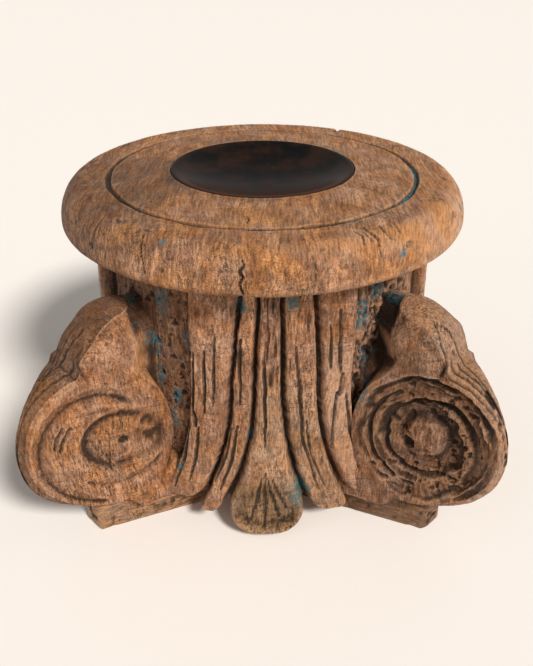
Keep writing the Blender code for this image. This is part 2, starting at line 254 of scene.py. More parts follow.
def punched(across, up, cell, size, share, seed):
    """Three-cornered punch marks scattered over a surface, 1 at their deepest."""
    column = np.floor(across / cell).astype(np.int64)
    row = np.floor(up / cell).astype(np.int64)
    depth = np.zeros(np.shape(across))
    for dx in (-1, 0, 1):
        for dy in (-1, 0, 1):
            draws = [lattice(column + dx, row + dy, 0, seed + index) for index in range(4)]
            kept = draws[0] < share
            x = across - (column + dx + draws[1]) * cell
            y = up - (row + dy + draws[2]) * cell
            grow = 0.6 + 0.6 * draws[3]
            edge = np.maximum(np.abs(x) * 1.7 + y * 0.9, -y * 1.5) / (size * grow)
            depth = np.maximum(depth, np.where(kept, np.clip(1.0 - edge, 0.0, 1.0), 0.0))
    return depth


# Meshes


def grid_faces(rows, columns, round_rows):
    """Four-sided faces of a grid whose columns run all the way round."""
    here = np.arange(rows * columns).reshape(rows, columns)
    right = np.roll(here, -1, axis=1)
    quads = np.stack([here, right, np.roll(right, -1, axis=0), np.roll(here, -1, axis=0)], axis=-1)
    if not round_rows:
        quads = quads[:-1]
    return quads.reshape(-1, 4).tolist()


def fan_faces(first, columns, centre):
    """Triangles from a row of the grid to one point."""
    return [[first + index, first + (index + 1) % columns, centre] for index in range(columns)]


def capped_faces(rows, columns):
    """Faces of a grid that a fan closes at each end, on the two points that follow the grid."""
    faces = grid_faces(rows, columns, False)
    faces += fan_faces(0, columns, rows * columns)
    faces += fan_faces((rows - 1) * columns, columns, rows * columns + 1)
    return faces


def read_points(mesh):
    """Points in millimetres and the normals of a mesh."""
    points = np.empty(len(mesh.vertices) * 3, np.float32)
    mesh.vertices.foreach_get("co", points)
    normals = np.empty(len(mesh.vertices) * 3, np.float32)
    mesh.vertex_normals.foreach_get("vector", normals)
    return points.reshape(-1, 3).astype(float) * 1000.0, normals.reshape(-1, 3).astype(float)


def write_points(mesh, points):
    """Moves a mesh's points to places in millimetres."""
    mesh.vertices.foreach_set("co", (points * 0.001).astype(np.float32).ravel())
    mesh.update()


def weather(mesh, strength, grain):
    """Wears a surface inwards along its fibres. Grain is shortest along them."""
    points, normals = read_points(mesh)
    x, y, z = points.T
    fibre = (points * grain).T
    sink = 0.10 * (1.0 + noise(*(fibre / 1.1), 11))
    sink += 0.14 * (1.0 + noise(*(fibre / 2.7), 12))
    sink += 0.26 * (1.0 + layered(x / 15.0, y / 15.0, z / 15.0, 13))
    sink += 0.6 * smooth_step(0.64, 0.85, layered(x / 4.0, y / 4.0, z / 9.0, 14, 2))
    sink += 0.07 * (1.0 + noise(x / 0.8, y / 0.8, z / 0.9, 15))
    write_points(mesh, points - normals * (sink * strength)[:, None])


def mark_hollows(mesh, rounds=6, depth=0.34):
    """Adds grime and painted shade where the surface lies below what is round it, and wear and painted
    highlight where it stands out.
    """
    points, normals = read_points(mesh)
    ends = np.empty(len(mesh.edges) * 2, np.int32)
    mesh.edges.foreach_get("vertices", ends)
    ends = ends.reshape(-1, 2)
    count = len(points)
    links = np.bincount(ends.ravel(), minlength=count)
    spread = points.copy()
    for _ in range(rounds):
        total = np.empty_like(spread)
        for axis in range(3):
            total[:, axis] = np.bincount(ends[:, 0], spread[ends[:, 1], axis], count)
            total[:, axis] += np.bincount(ends[:, 1], spread[ends[:, 0], axis], count)
        spread = 0.5 * spread + 0.5 * total / links[:, None]
    hollow = ((spread - points) * normals).sum(axis=1) / depth
    for name, amount in (("dirt_and_shade", hollow), ("wear_and_highlight", -hollow)):
        values = np.empty(count, np.float32)
        mesh.attributes[name].data.foreach_get("value", values)
        values = np.clip(values + np.clip(amount, 0.0, 1.0), 0.0, 1.0).astype(np.float32)
        mesh.attributes[name].data.foreach_set("value", values)


# The dirt marks carry grime and painted shade, the wear marks carry wear and painted highlight
MARKS = ("dirt_and_shade", "wear_and_highlight", "paint", "moss")


def carved_piece(name, points, faces, marks, material, strength=1.0, grain=(1.0, 1.0, 0.2)):
    """Turns points in millimetres into a closed, weathered wooden piece that stands for part of the base."""
    mesh = bpy.data.meshes.new(name)
    mesh.from_pydata((points * 0.001).tolist(), [], faces)
    for label in MARKS:
        values = np.broadcast_to(marks.get(label, 0.0), (len(points),))
        layer = mesh.attributes.new(label, "FLOAT", "POINT")
        layer.data.foreach_set("value", np.ascontiguousarray(values, dtype=np.float32))
    shape = bmesh.new()
    shape.from_mesh(mesh)
    bmesh.ops.remove_doubles(shape, verts=shape.verts, dist=1e-6)
    bmesh.ops.recalc_face_normals(shape, faces=shape.faces)
    shape.to_mesh(mesh)
    shape.free()
    weather(mesh, strength, np.array(grain))
    mark_hollows(mesh)
    mesh.materials.append(material)
    mesh.shade_smooth()
    piece = bpy.data.objects.new(name, mesh)
    bpy.context.scene.collection.objects.link(piece)
    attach(piece, "root")
    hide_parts("carved_base")
    return piece


# Shader nodes


def add(tree, kind, inputs=None, **settings):
    """Adds a node, sets its options and fills its inputs with values or links."""
    made = tree.nodes.new(kind)
    for key, value in settings.items():
        setattr(made, key, value)
    for key, value in (inputs or {}).items():
        if isinstance(value, bpy.types.NodeSocket):
            tree.links.new(value, made.inputs[key])
        else:
            made.inputs[key].default_value = value
    return made


def calc(tree, operation, first, second=0.0, clamp=False):
    return add(tree, "ShaderNodeMath", {0: first, 1: second}, operation=operation, use_clamp=clamp).outputs[0]


def times(tree, first, second, clamp=False):
    return calc(tree, "MULTIPLY", first, second, clamp)


def plus(tree, first, second):
    return calc(tree, "ADD", first, second)


def minus(tree, first, second):
    return calc(tree, "SUBTRACT", first, second)


def span(tree, value, low, high, bottom=0.0, top=1.0):
    """Maps a value smoothly from one range to another."""
    inputs = {0: value, 1: low, 2: high, 3: bottom, 4: top}
    return add(tree, "ShaderNodeMapRange", inputs, interpolation_type="SMOOTHSTEP").outputs[0]


def blend(tree, share, first, second, way="MIX"):
    inputs = {0: share, 6: first, 7: second}
    return add(tree, "ShaderNodeMix", inputs, data_type="RGBA", blend_type=way).outputs[2]


def vector_calc(tree, operation, first, second):
    return add(tree, "ShaderNodeVectorMath", {0: first, 1: second}, operation=operation).outputs[0]


def stretched(tree, vector, scale):
    return vector_calc(tree, "MULTIPLY", vector, scale)


def cloudy(tree, vector, scale, detail, roughness=0.55):
    inputs = {"Vector": vector, "Scale": scale, "Detail": detail, "Roughness": roughness}
    return add(tree, "ShaderNodeTexNoise", inputs)


def rgba(values):
    return tuple(values) + (1.0,)


def new_group(name, inputs, outputs):
    """A shader group with its sockets, and its input and output nodes."""
    tree = bpy.data.node_groups.new(name, "ShaderNodeTree")
    for label, kind, default in inputs:
        socket = tree.interface.new_socket(name=label, in_out="INPUT", socket_type=kind)
        if default is not None:
            socket.default_value = default
    for label, kind in outputs:
        tree.interface.new_socket(name=label, in_out="OUTPUT", socket_type=kind)
    return tree, tree.nodes.new("NodeGroupInput"), tree.nodes.new("NodeGroupOutput")


NUMBER, TINT, VECTOR = "NodeSocketFloat", "NodeSocketColor", "NodeSocketVector"
FIBRE_PARTS = ("Fine", "Streaks", "Patches", "Rings", "Growth Lines", "Checks", "Fuzz")


def fibre_group():
    """Wood fibres drawn out by their grain, with a slow drift so that they never lie quite straight."""
    inputs = [("Vector", VECTOR, None), ("Fibres per Metre", NUMBER, 900.0)]
    inputs += [("Grain", VECTOR, (1.0, 1.0, 0.25))]
    outputs = [(name, NUMBER) for name in FIBRE_PARTS]
    tree, given, result = new_group("wood fibres", inputs, outputs)
    place = given.outputs["Vector"]
    drift = cloudy(tree, place, 16.0, 2.0).outputs[1]
    drift = vector_calc(tree, "SUBTRACT", drift, (0.5, 0.5, 0.5))
    drift = stretched(tree, drift, (0.014, 0.014, 0.010))
    place = vector_calc(tree, "ADD", place, drift)
    drawn = stretched(tree, place, given.outputs["Grain"])
    fine = cloudy(tree, drawn, given.outputs["Fibres per Metre"], 4.0, 0.6).outputs[0]
    wide = times(tree, given.outputs["Fibres per Metre"], 0.22)
    streaks = cloudy(tree, drawn, wide, 4.0, 0.6).outputs[0]
    patches = cloudy(tree, place, 34.0, 4.0, 0.6).outputs[0]
    centred = vector_calc(tree, "SUBTRACT", place, (-0.022, 0.030, 0.0))
    ring_inputs = {"Vector": centred, "Scale": 95.0, "Distortion": 3.0, "Detail": 3.0, "Detail Scale": 0.5}
    rings = add(tree, "ShaderNodeTexWave", ring_inputs, wave_type="RINGS", rings_direction="Z").outputs[1]
    level = stretched(tree, place, (0.15, 0.15, 1.0))
    swell = cloudy(tree, level, 40.0, 0.6, 0.4).outputs[0]
    swell = calc(tree, "PINGPONG", times(tree, swell, 15.0), 0.5)
    growth = times(tree, span(tree, swell, 0.0, 0.16, 1.0, 0.0), span(tree, streaks, 0.35, 0.6))
    split = cloudy(tree, stretched(tree, place, (1.0, 1.0, 0.13)), 230.0, 3.0, 0.6).outputs[0]
    split = calc(tree, "ABSOLUTE", minus(tree, split, 0.5))
    checks = times(tree, span(tree, split, 0.0, 0.016, 1.0, 0.0), span(tree, patches, 0.50, 0.60))
    fuzz = cloudy(tree, place, 1500.0, 3.0, 0.7).outputs[0]
    for name, part in zip(FIBRE_PARTS, (fine, streaks, patches, rings, growth, checks, fuzz)):
        tree.links.new(part, result.inputs[name])
    return tree


def aged_group():
    """Old wood: light and dark streaks, grime in the cuts with painted shade, bleached edges with painted
    highlight, and the last of its paint.
    """
    tints = ("Light", "Middle", "Dark", "Grime_And_Shade_Colour", "Old Paint")
    inputs = [("Vector", VECTOR, None)]
    inputs += [(name, NUMBER, 0.5) for name in FIBRE_PARTS]
    inputs += [(name, NUMBER, 0.0) for name in ("Dirt_And_Shade", "Wear_And_Highlight", "Paint")]
    inputs += [(name, TINT, (0.5, 0.5, 0.5, 1.0)) for name in tints]
    inputs += [("Bleach", NUMBER, 0.5), ("Stain", NUMBER, 0.5)]
    outputs = [("Color", TINT), ("Roughness", NUMBER), ("Height", NUMBER)]
    tree, given, result = new_group("aged wood", inputs, outputs)
    value = given.outputs
    pale = plus(tree, value["Patches"], times(tree, value["Streaks"], 0.7))
    pale = span(tree, pale, 0.66, 1.10)
    pale = times(tree, pale, value["Bleach"])
    shade = blend(tree, pale, value["Middle"], value["Light"])
    other = cloudy(tree, value["Vector"], 21.0, 3.0).outputs[0]
    stained = times(tree, span(tree, other, 0.46, 0.70), value["Stain"])
    streaked = times(tree, span(tree, value["Streaks"], 0.60, 0.42), 0.6)
    stained = calc(tree, "MAXIMUM", stained, times(tree, streaked, value["Stain"]))
    shade = blend(tree, stained, shade, value["Dark"])
    normal = add(tree, "ShaderNodeNewGeometry").outputs["Normal"]
    upward = add(tree, "ShaderNodeSeparateXYZ", {0: normal}).outputs[2]
    end_grain = span(tree, upward, 0.70, 0.95)
    ringed = times(tree, span(tree, value["Rings"], 0.55, 0.95), times(tree, end_grain, 0.12))
    shade = blend(tree, ringed, shade, value["Dark"])
    shade = blend(tree, times(tree, value["Growth Lines"], 0.50), shade, value["Dark"])
    shade = blend(tree, times(tree, value["Checks"], 0.75), shade, value["Grime_And_Shade_Colour"])
    fleck = plus(tree, value["Fine"], minus(tree, value["Fuzz"], 0.5))
    fleck = span(tree, fleck, 0.24, 0.78, 0.36, 1.56)
    mottled = cloudy(tree, value["Vector"], 110.0, 5.0, 0.72).outputs[0]
    shade = blend(tree, span(tree, mottled, 0.52, 0.70, 0.0, 0.62), shade, value["Dark"])
    shade = blend(tree, span(tree, mottled, 0.48, 0.30, 0.0, 0.62), shade, value["Light"])
    fleck = add(tree, "ShaderNodeCombineColor", {0: fleck, 1: fleck, 2: fleck}).outputs[0]
    shade = blend(tree, 1.0, shade, fleck, "MULTIPLY")
    # Wear and painted highlight lighten the wood
    worn_and_highlit = times(tree, value["Wear_And_Highlight"], span(tree, value["Fine"], 0.30, 0.65, 0.35, 1.0))
    shade = blend(tree, times(tree, worn_and_highlit, 0.80), shade, value["Light"])
    rich = span(tree, cloudy(tree, value["Vector"], 65.0, 3.0).outputs[0], 0.35, 0.65, 0.90, 1.07)
    shade = add(tree, "ShaderNodeHueSaturation", {"Saturation": rich, "Color": shade}).outputs[0]
    # Grime and painted shade darken the wood
    grime_and_shade = times(tree, value["Dirt_And_Shade"], span(tree, value["Patches"], 0.30, 0.62, 0.80, 1.15), True)
    shade = blend(tree, times(tree, grime_and_shade, 0.90), shade, value["Grime_And_Shade_Colour"])
    torn = cloudy(tree, value["Vector"], 420.0, 4.0, 0.7).outputs[0]
    painted = span(tree, plus(tree, torn, times(tree, value["Paint"], 0.30)), 0.66, 0.76)
    painted = times(tree, painted, span(tree, value["Paint"], 0.02, 0.2), True)
    shade = blend(tree, times(tree, painted, 0.82), shade, value["Old Paint"])
    rough = plus(tree, 0.50, times(tree, value["Fine"], 0.20))
    rough = plus(tree, rough, times(tree, grime_and_shade, 0.22))
    rough = minus(tree, rough, times(tree, worn_and_highlit, 0.24))
    lift = plus(tree, value["Fine"], times(tree, value["Streaks"], 0.9))
    lift = plus(tree, lift, times(tree, torn, 1.3))
    lift = plus(tree, lift, times(tree, value["Fuzz"], 0.8))
    cuts = plus(tree, value["Checks"], times(tree, value["Growth Lines"], 0.3))
    lift = minus(tree, lift, times(tree, cuts, 0.8))
    tree.links.new(shade, result.inputs["Color"])
    tree.links.new(rough, result.inputs["Roughness"])
    tree.links.new(lift, result.inputs["Height"])
    return tree


def shared_group(name, builder):
    return bpy.data.node_groups.get(name) or builder()


def radial_checks(tree, place):
    """Hairline cracks that run outwards over the disc and down its side."""
    x, y, z = add(tree, "ShaderNodeSeparateXYZ", {0: place}).outputs
    turn = times(tree, calc(tree, "ARCTAN2", x, y), 3.2)
    squared = plus(tree, times(tree, x, x), times(tree, y, y))
    reach = times(tree, calc(tree, "SQRT", squared), 4.0)
    spot = add(tree, "ShaderNodeCombineXYZ", {0: turn, 1: reach, 2: times(tree, z, 6.0)}).outputs[0]
    split = cloudy(tree, spot, 9.0, 3.0, 0.55).outputs[0]
    split = span(tree, calc(tree, "ABSOLUTE", minus(tree, split, 0.5)), 0.0, 0.011, 1.0, 0.0)
    kept = span(tree, cloudy(tree, place, 45.0, 2.0).outputs[0], 0.46, 0.58)
    return times(tree, split, kept)


def wood_material(name, look, bleach, stain, warmth, grain=(1.0, 1.0, 0.22), radial=False):
    """The old wood of one piece: bleached, stained, tinted, and with a grain that is least along the fibres."""
    material = bpy.data.materials.new(name)
    material.use_nodes = True
    tree = material.node_tree
    shader = tree.nodes["Principled BSDF"]
    place = add(tree, "ShaderNodeTexCoord").outputs["Object"]
    fibres = add(tree, "ShaderNodeGroup", node_tree=shared_group("wood fibres", fibre_group))
    tree.links.new(place, fibres.inputs["Vector"])
    fibres.inputs["Fibres per Metre"].default_value = 1.0 / look.fibre_width
    fibres.inputs["Grain"].default_value = grain
    aged = add(tree, "ShaderNodeGroup", node_tree=shared_group("aged wood", aged_group))
    tree.links.new(place, aged.inputs["Vector"])
    for label in FIBRE_PARTS:
        tree.links.new(fibres.outputs[label], aged.inputs[label])
    if radial:
        checks = calc(tree, "MAXIMUM", fibres.outputs["Checks"], radial_checks(tree, place))
        tree.links.new(checks, aged.inputs["Checks"])
    for label in ("Dirt_And_Shade", "Wear_And_Highlight", "Paint"):
        mark = add(tree, "ShaderNodeAttribute", attribute_name=label.lower())
        tree.links.new(mark.outputs["Fac"], aged.inputs[label])
    values = {"Grime_And_Shade_Colour": rgba(look.dirt_and_shade), "Old Paint": rgba(look.paint), "Bleach": bleach, "Stain": stain}
    for label, value in (("Light", look.light), ("Middle", look.middle), ("Dark", look.dark)):
        values[label] = rgba(part * factor for part, factor in zip(value, warmth))
    for label, value in values.items():
        aged.inputs[label].default_value = value
    bump = add(tree, "ShaderNodeBump", {"Strength": 0.9, "Distance": look.relief})
    tree.links.new(aged.outputs["Height"], bump.inputs["Height"])
    moss = add(tree, "ShaderNodeAttribute", attribute_name="moss").outputs["Fac"]
    greyed = blend(tree, moss, aged.outputs["Color"], (0.87, 0.95, 0.88, 1.0), "MULTIPLY")
    tree.links.new(greyed, shader.inputs["Base Color"])
    tree.links.new(aged.outputs["Roughness"], shader.inputs["Roughness"])
    tree.links.new(bump.outputs["Normal"], shader.inputs["Normal"])
    shader.inputs["Specular IOR Level"].default_value = 0.50 if radial else 0.30
    return material


# The turned disc


# The top lies level out to this reach and then falls slowly to the ring groove
LEVEL_REACH = 50.0


def disc_rows(size):
    """The disc's outline from the mouth over the top and side to the underside: reach, height and lean."""
    land = size.height - size.crown
    under = size.height - size.thickness
    widest = under + size.edge
    top = np.linspace(size.mouth, size.shoulder, 78)[:-1]
    fall = size.crown * np.clip((top - LEVEL_REACH) / (size.groove_radius - LEVEL_REACH), 0.0, 1.0)
    rows = [np.stack([top, size.height - fall], axis=1)]
    turn = np.linspace(0.0, 0.5 * pi, 36)
    reach = size.shoulder + (size.radius - size.shoulder) * np.sin(turn)
    rows.append(np.stack([reach, widest + (land - widest) * np.cos(turn)], axis=1))
    turn = np.linspace(0.0, 0.5 * pi, 14)[1:]
    reach = size.radius - size.undercut * (1.0 - np.cos(turn))
    rows.append(np.stack([reach, widest - size.edge * np.sin(turn)], axis=1))
    flat = np.linspace(size.radius - size.undercut, size.mouth, 7)[1:]
    rows.append(np.stack([flat, np.full(6, under)], axis=1))
    rise = np.linspace(under, size.height, 6)[1:-1]
    rows.append(np.stack([np.full(4, size.mouth), rise], axis=1))
    rows = np.concatenate(rows)
    ahead = np.roll(rows, -1, axis=0) - np.roll(rows, 1, axis=0)
    lean = np.stack([-ahead[:, 1], ahead[:, 0]], axis=1)
    return rows, lean / np.linalg.norm(lean, axis=1)[:, None]


# Each crack as places in degrees and in length along the outline, with its width and its depth
DISC_CRACKS = (
    (((-4.4, 57.5), (-3.9, 60.0), (-5.0, 62.5), (-4.2, 65.0), (-4.9, 68.0), (-4.3, 74.0)), 1.5, 2.2),
    (((-31.0, 51.0), (-30.2, 58.0), (-29.2, 63.0), (-28.0, 70.0)), 0.9, 1.2),
    (((29.8, 41.0), (29.0, 47.0), (29.9, 54.0), (29.3, 62.5)), 1.5, 2.2),
    (((25.4, 44.0), (26.3, 50.0), (25.5, 57.0)), 0.9, 1.2),
    (((27.5, 46.0), (27.9, 54.0)), 0.8, 0.9),
    (((34.4, 43.0), (33.0, 50.0), (33.5, 55.0)), 0.9, 1.2),
    (((38.6, 45.0), (37.0, 55.0)), 0.8, 1.0),
    (((-5.6, 20.0), (-4.6, 23.5), (-5.0, 27.0)), 0.9, 0.9),
    (((62.0, 38.0), (64.0, 47.0), (63.0, 56.0)), 0.9, 1.0),
    (((12.0, 56.0), (12.6, 63.0), (12.2, 70.0)), 0.8, 0.7),
    (((-48.0, 47.0), (-47.0, 58.0), (-47.5, 68.0)), 0.9, 0.9),
    (((150.0, 40.0), (152.0, 55.0), (151.0, 70.0)), 1.4, 2.0),
    (((-118.0, 46.0), (-119.0, 60.0)), 1.1, 1.4),
)


def disc_cuts(size, angle, place, reach):
    """Depth of the ring groove, cracks and chips over the disc, and the groove alone."""
    away = np.abs((angle - 153.0 + 180.0) % 360.0 - 180.0)
    strength = 0.35 + 0.65 * smooth_step(20.0, 50.0, away)
    wander = 0.35 * noise(angle / 9.0, 0.0, 0.0, 21)
    chipped = smooth_step(5.0, 1.5, np.abs(angle + 20.5)) + smooth_step(5.5, 2.0, np.abs(angle - 16.0))
    half = 0.42 * size.groove_width * (1.0 + 0.45 * chipped + 0.15 * noise(angle / 4.0, 3.0, 0.0, 22))
    gap = np.abs(reach - size.groove_radius - wander) / half
    ring = np.clip(1.25 * (1.0 - gap), 0.0, 1.0) * strength * (place < 60.0)
    depth = size.groove_depth * ring
    across = np.radians(angle) * reach
    for line, width, cut in DISC_CRACKS:
        spots = [(radians(turn) * np.interp(s, place[:, 0], reach[:, 0]), s) for turn, s in line]
        depth = np.maximum(depth, cut * gouged(across, place, spots, width))
    edge = smooth_step(40.0, 47.0, place) * smooth_step(84.0, 78.0, place)
    chips = smooth_step(0.50, 0.75, layered(across / 9.0, place / 6.0, 0.0, 25, 2))
    return depth + 0.7 * chips * edge, ring


def build_disc(context):
    looks = context.scene.base_wood
    size = in_mm(context.scene.base_disc)
    rows, lean = disc_rows(size)
    front = np.arange(-62.0, 72.0, 0.31)
    rest = np.linspace(72.0, 298.0, 225)[:-1]
    angle = np.concatenate([front, rest])[None, :]
    angle = (angle + 180.0) % 360.0 - 180.0
    steps = np.hypot(*(rows[1:] - rows[:-1]).T)
    place = np.concatenate([[0.0], np.cumsum(steps)])[:, None]
    reach = rows[:, :1]
    depth, ring = disc_cuts(size, angle, place, reach)
    far = reach - lean[:, :1] * depth
    high = rows[:, 1:] - lean[:, 1:] * depth
    turn = np.radians(angle)
    points = np.stack(np.broadcast_arrays(far * np.sin(turn), -far * np.cos(turn), high), axis=-1)
    shape = points.shape[:2]
    # Wear and painted highlight on the shoulder, stronger towards the right, and painted light on the right of
    # the side
    shoulder = np.exp(-(((place - 52.0) / 7.0) ** 2)) * (0.12 + 0.75 * smooth_step(-40.0, 60.0, angle))
    side = smooth_step(48.0, 62.0, place) * smooth_step(84.0, 76.0, place)
    painted_light_right = side * smooth_step(10.0, 55.0, angle) * smooth_step(125.0, 95.0, angle) * 0.75
    paint = ring * smooth_step(20.0, 32.0, angle) * smooth_step(112.0, 98.0, angle)
    for turn_at, spot, width in ((-25.0, 53.5, 3.0), (36.0, 63.0, 4.0), (70.0, 60.0, 4.0)):
        gap = np.hypot(np.radians(angle - turn_at) * 100.0, place - spot)
        paint = np.maximum(paint, 0.9 * smooth_step(width, 0.3 * width, gap))
    # Darker round the mouth, and painted shade where the side turns under and on the left of the disc
    darker_mouth_and_painted_shade = 0.22 * smooth_step(7.0, 1.0, place) + 0.25 * smooth_step(70.0, 79.0, place)
    darker_mouth_and_painted_shade = darker_mouth_and_painted_shade + 0.42 * smooth_step(-25.0, -55.0, angle) * smooth_step(-120.0, -95.0, angle)
    handled = 0.36 * smooth_step(47.0, 40.0, place) * (1.0 - ring)
    marks = {"dirt_and_shade": 0.55 * ring + darker_mouth_and_painted_shade, "wear_and_highlight": shoulder + painted_light_right + handled, "paint": paint}
    marks = {name: np.broadcast_to(value, shape).ravel() for name, value in marks.items()}
    warmth, grain = (1.16, 1.03, 0.83), (1.0, 0.11, 0.28)
    material = wood_material("disc wood", looks, 0.90, 0.64, warmth, grain, True)
    faces = grid_faces(shape[0], shape[1], True)
    carved_piece("carved_disc", points.reshape(-1, 3), faces, marks, material, 0.6, (1.0, 0.12, 1.0))


# The bell and its leaves

# The height of the bell's waist, its mean reach, one degree of its face and how far it goes up into the disc
WAIST = 90.0
MEAN_REACH = 95.0
DEGREE = 1.66
OVERLAP = 4.0

# The bore that the bell leaves free, and the reach and height of its underside
BORE = 30.0
SOLE_REACH = 50.4
SOLE_HEIGHT = 24.0

# The borders between the leaves, in degrees from the face's middle at the top, the waist and the foot
LEAF_LINES = (
    (-23.4, -23.4, -36.0),
    (-6.0, -10.0, -22.0),
    (-0.7, -2.5, -14.0),
    (6.1, 6.6, 16.4),
    (16.2, 18.3, 30.0),
    (30.0, 29.0, 42.0),
)

# For each leaf of a face: how far its tip curls out, where it ends, how round its tip is, and its columns
LEAF_CURLS = (0.0, 4.5, 9.0, 13.5, 9.0, 4.5, 0.0)
LEAF_FEET = (19.0, 17.0, 11.0, 3.0, 11.0, 17.0, 19.0)
TIP_ROUNDS = (7.0, 7.0, 7.0, 17.0, 7.0, 7.0, 7.0)
LEAF_COLUMNS = (24, 30, 18, 28, 20, 30, 24)

# Each cut as places in degrees from the face's middle and in height, with its width and its share of depth
LEAF_CUTS = (
    (((-21.6, 76.0), (-21.0, 66.0)), 3.4, 1.0),
    (((-20.6, 110.0), (-21.3, 90.0), (-21.7, 73.0)), 1.9, 0.9),
    (((-17.3, 112.0), (-17.6, 92.0), (-18.0, 75.0)), 1.9, 0.9),
    (((-23.3, 65.0), (-25.0, 44.0), (-27.9, 25.0)), 1.9, 0.9),
    (((-20.0, 66.0), (-21.2, 46.0), (-23.0, 31.0)), 1.9, 0.9),
    (((-14.0, 120.0), (-14.6, 96.0), (-15.2, 80.0)), 1.5, 0.7),
    (((-6.5, 119.0), (-6.8, 100.0), (-6.9, 80.0)), 1.6, 0.8),
    (((-8.0, 67.0), (-10.0, 45.0), (-13.0, 28.0)), 1.8, 0.9),
    (((-9.9, 66.0), (-11.8, 48.0), (-15.0, 32.0)), 1.5, 0.8),
    (((0.9, 112.0), (0.8, 54.0)), 1.6, 0.8),
    (((0.1, 37.0), (-1.4, 24.0), (-3.4, 12.0)), 2.6, 0.5),
    (((0.9, 40.0), (0.9, 24.0), (0.7, 8.0)), 2.6, 0.55),
    (((1.6, 37.0), (3.0, 24.0), (5.0, 13.0)), 2.6, 0.5),
    (((3.2, 36.0), (5.0, 26.0), (7.0, 18.0)), 2.2, 0.45),
    (((10.5, 114.0), (12.0, 84.0), (13.0, 58.0), (17.7, 27.0)), 1.9, 0.9),
    (((14.0, 70.0), (15.6, 48.0), (20.0, 28.0)), 1.4, 0.7),
    (((20.3, 126.0), (20.7, 113.0), (20.9, 101.0)), 1.8, 0.9),
    (((23.0, 133.0), (23.5, 115.0), (24.0, 98.0)), 2.0, 1.0),
    (((24.6, 97.0), (24.1, 85.0)), 3.4, 1.0),
    (((23.0, 87.0), (22.2, 68.0), (22.2, 50.0)), 1.8, 0.9),
    (((25.9, 85.0), (28.0, 60.0), (31.4, 38.0)), 1.9, 1.0),
    (((21.0, 46.0), (23.0, 34.0)), 1.4, 0.7),
)


def leaf_border(line, height, top):
    """Reads a (top, waist, foot) border at a height, in degrees."""
    above = line[1] + (line[0] - line[1]) * (height - WAIST) / (top - WAIST)
    below = np.clip((WAIST - height) / (WAIST - 10.0), 0.0, 2.0)
    return np.where(height >= WAIST, above, line[1] + (line[2] - line[1]) * below**1.9)


def bell_columns():
    """Face, leaf and place across the leaf of every column. The front face has the most."""
    faces, leaves, shares = [], [], []
    for face, factor in enumerate((1.55, 0.72, 0.72, 0.72)):
        for leaf, count in enumerate(LEAF_COLUMNS):
            count = round(count * factor)
            faces += [face] * count
            leaves += [leaf] * count
            shares += [index / count for index in range(count)]
    return np.array(faces), np.array(leaves), np.array(shares)


def ground_reach(size, turn, height, top):
    """Distance of the bell's ground from the axis."""
    soft_square = (np.abs(np.cos(turn)) ** 2.6 + np.abs(np.sin(turn)) ** 2.6) ** (-1.0 / 2.6)
    return (size.half_width + size.flare * (1.0 - height / top)) * soft_square


def leaf_cut_depth(angle, height, round_angle):
    """Share of the cut depth at each place of a face."""
    across = angle * DEGREE + 0.35 * noise(height / 7.0, round_angle / 60.0, 0.0, 31)
    depth = np.zeros(across.shape)
    for line, width, share in LEAF_CUTS:
        spots = [(turn * DEGREE, level) for turn, level in line]
        depth = np.maximum(depth, share * gouged(across, height, spots, 1.2 * width))
    return depth


def rough_zones(size, angle, height):
    """Broken and worm-eaten places on the front, by angle round the whole bell."""
    across = np.radians(angle) * MEAN_REACH
    torn = smooth_step(-1.5, 0.0, angle) * smooth_step(6.5, 5.0, angle)
    torn = torn * smooth_step(88.0, 96.0, height)
    other = smooth_step(7.0, 9.0, angle) * smooth_step(17.0, 15.0, angle)
    other = other * smooth_step(98.0, 106.0, height)
    fibres = 0.5 + 0.5 * noise(across / 0.9, height / 11.0, 0.0, 41)
    gaps = smooth_step(0.15, 0.6, layered(across / 2.2, height / 16.0, 0.0, 42, 2))
    depth = np.maximum(torn, other) * (0.5 * fibres + 1.3 * gaps)
    left = smooth_step(-60.0, -55.0, angle) * smooth_step(-24.0, -27.0, angle)
    left = left * smooth_step(66.0, 76.0, height)
    nicks = punched(across, height, 6.4, 2.3, 0.5, 43)
    depth = depth + left * (1.9 * nicks + 0.4 * fibres)
    right = smooth_step(29.0, 33.0, angle) * smooth_step(58.0, 52.0, angle)
    right = right * smooth_step(48.0, 56.0, height)
    worms = 1.0 - np.abs(layered(across / 5.0, height / 7.5, 5.0, 44, 3)) * 3.2
    holes = smooth_step(0.05, 0.45, layered(across / 4.0, height / 8.0, 9.0, 45, 2))
    deep = smooth_step(24.0, 6.0, np.hypot((angle - 43.0) * 1.6, (height - 105.0) * 0.6))
    eaten = size.erosion * right * (0.40 * np.clip(worms, 0.0, 1.0) + 0.45 * holes + 0.1 * deep)
    return depth, eaten, right, left


def bell_paint(angle, height):
    """Where green-blue paint is left in the hollows of the front."""
    paint = np.zeros(np.shape(angle))
    spots = ((12, 26, 9), (-52, 116, 12), (-42, 111, 8), (-38, 104, 10), (-36, 88, 8), (-31, 63, 6))
    spots += ((40, 138, 10), (46, 120, 7), (33, 124, 9), (36, 96, 8), (41, 80, 7), (35, 70, 6), (-27, 40, 5))
    spots += ((-4, 60, 4), (-24.5, 112, 6), (-6, 136, 5), (9, 138, 6), (-33, 132, 9), (-29, 78, 6))
    for turn, level, width in spots:
        gap = np.hypot((angle - turn) * DEGREE, (height - level) * 0.6)
        paint = np.maximum(paint, 0.8 * smooth_step(width, 0.25 * width, gap))
    return paint


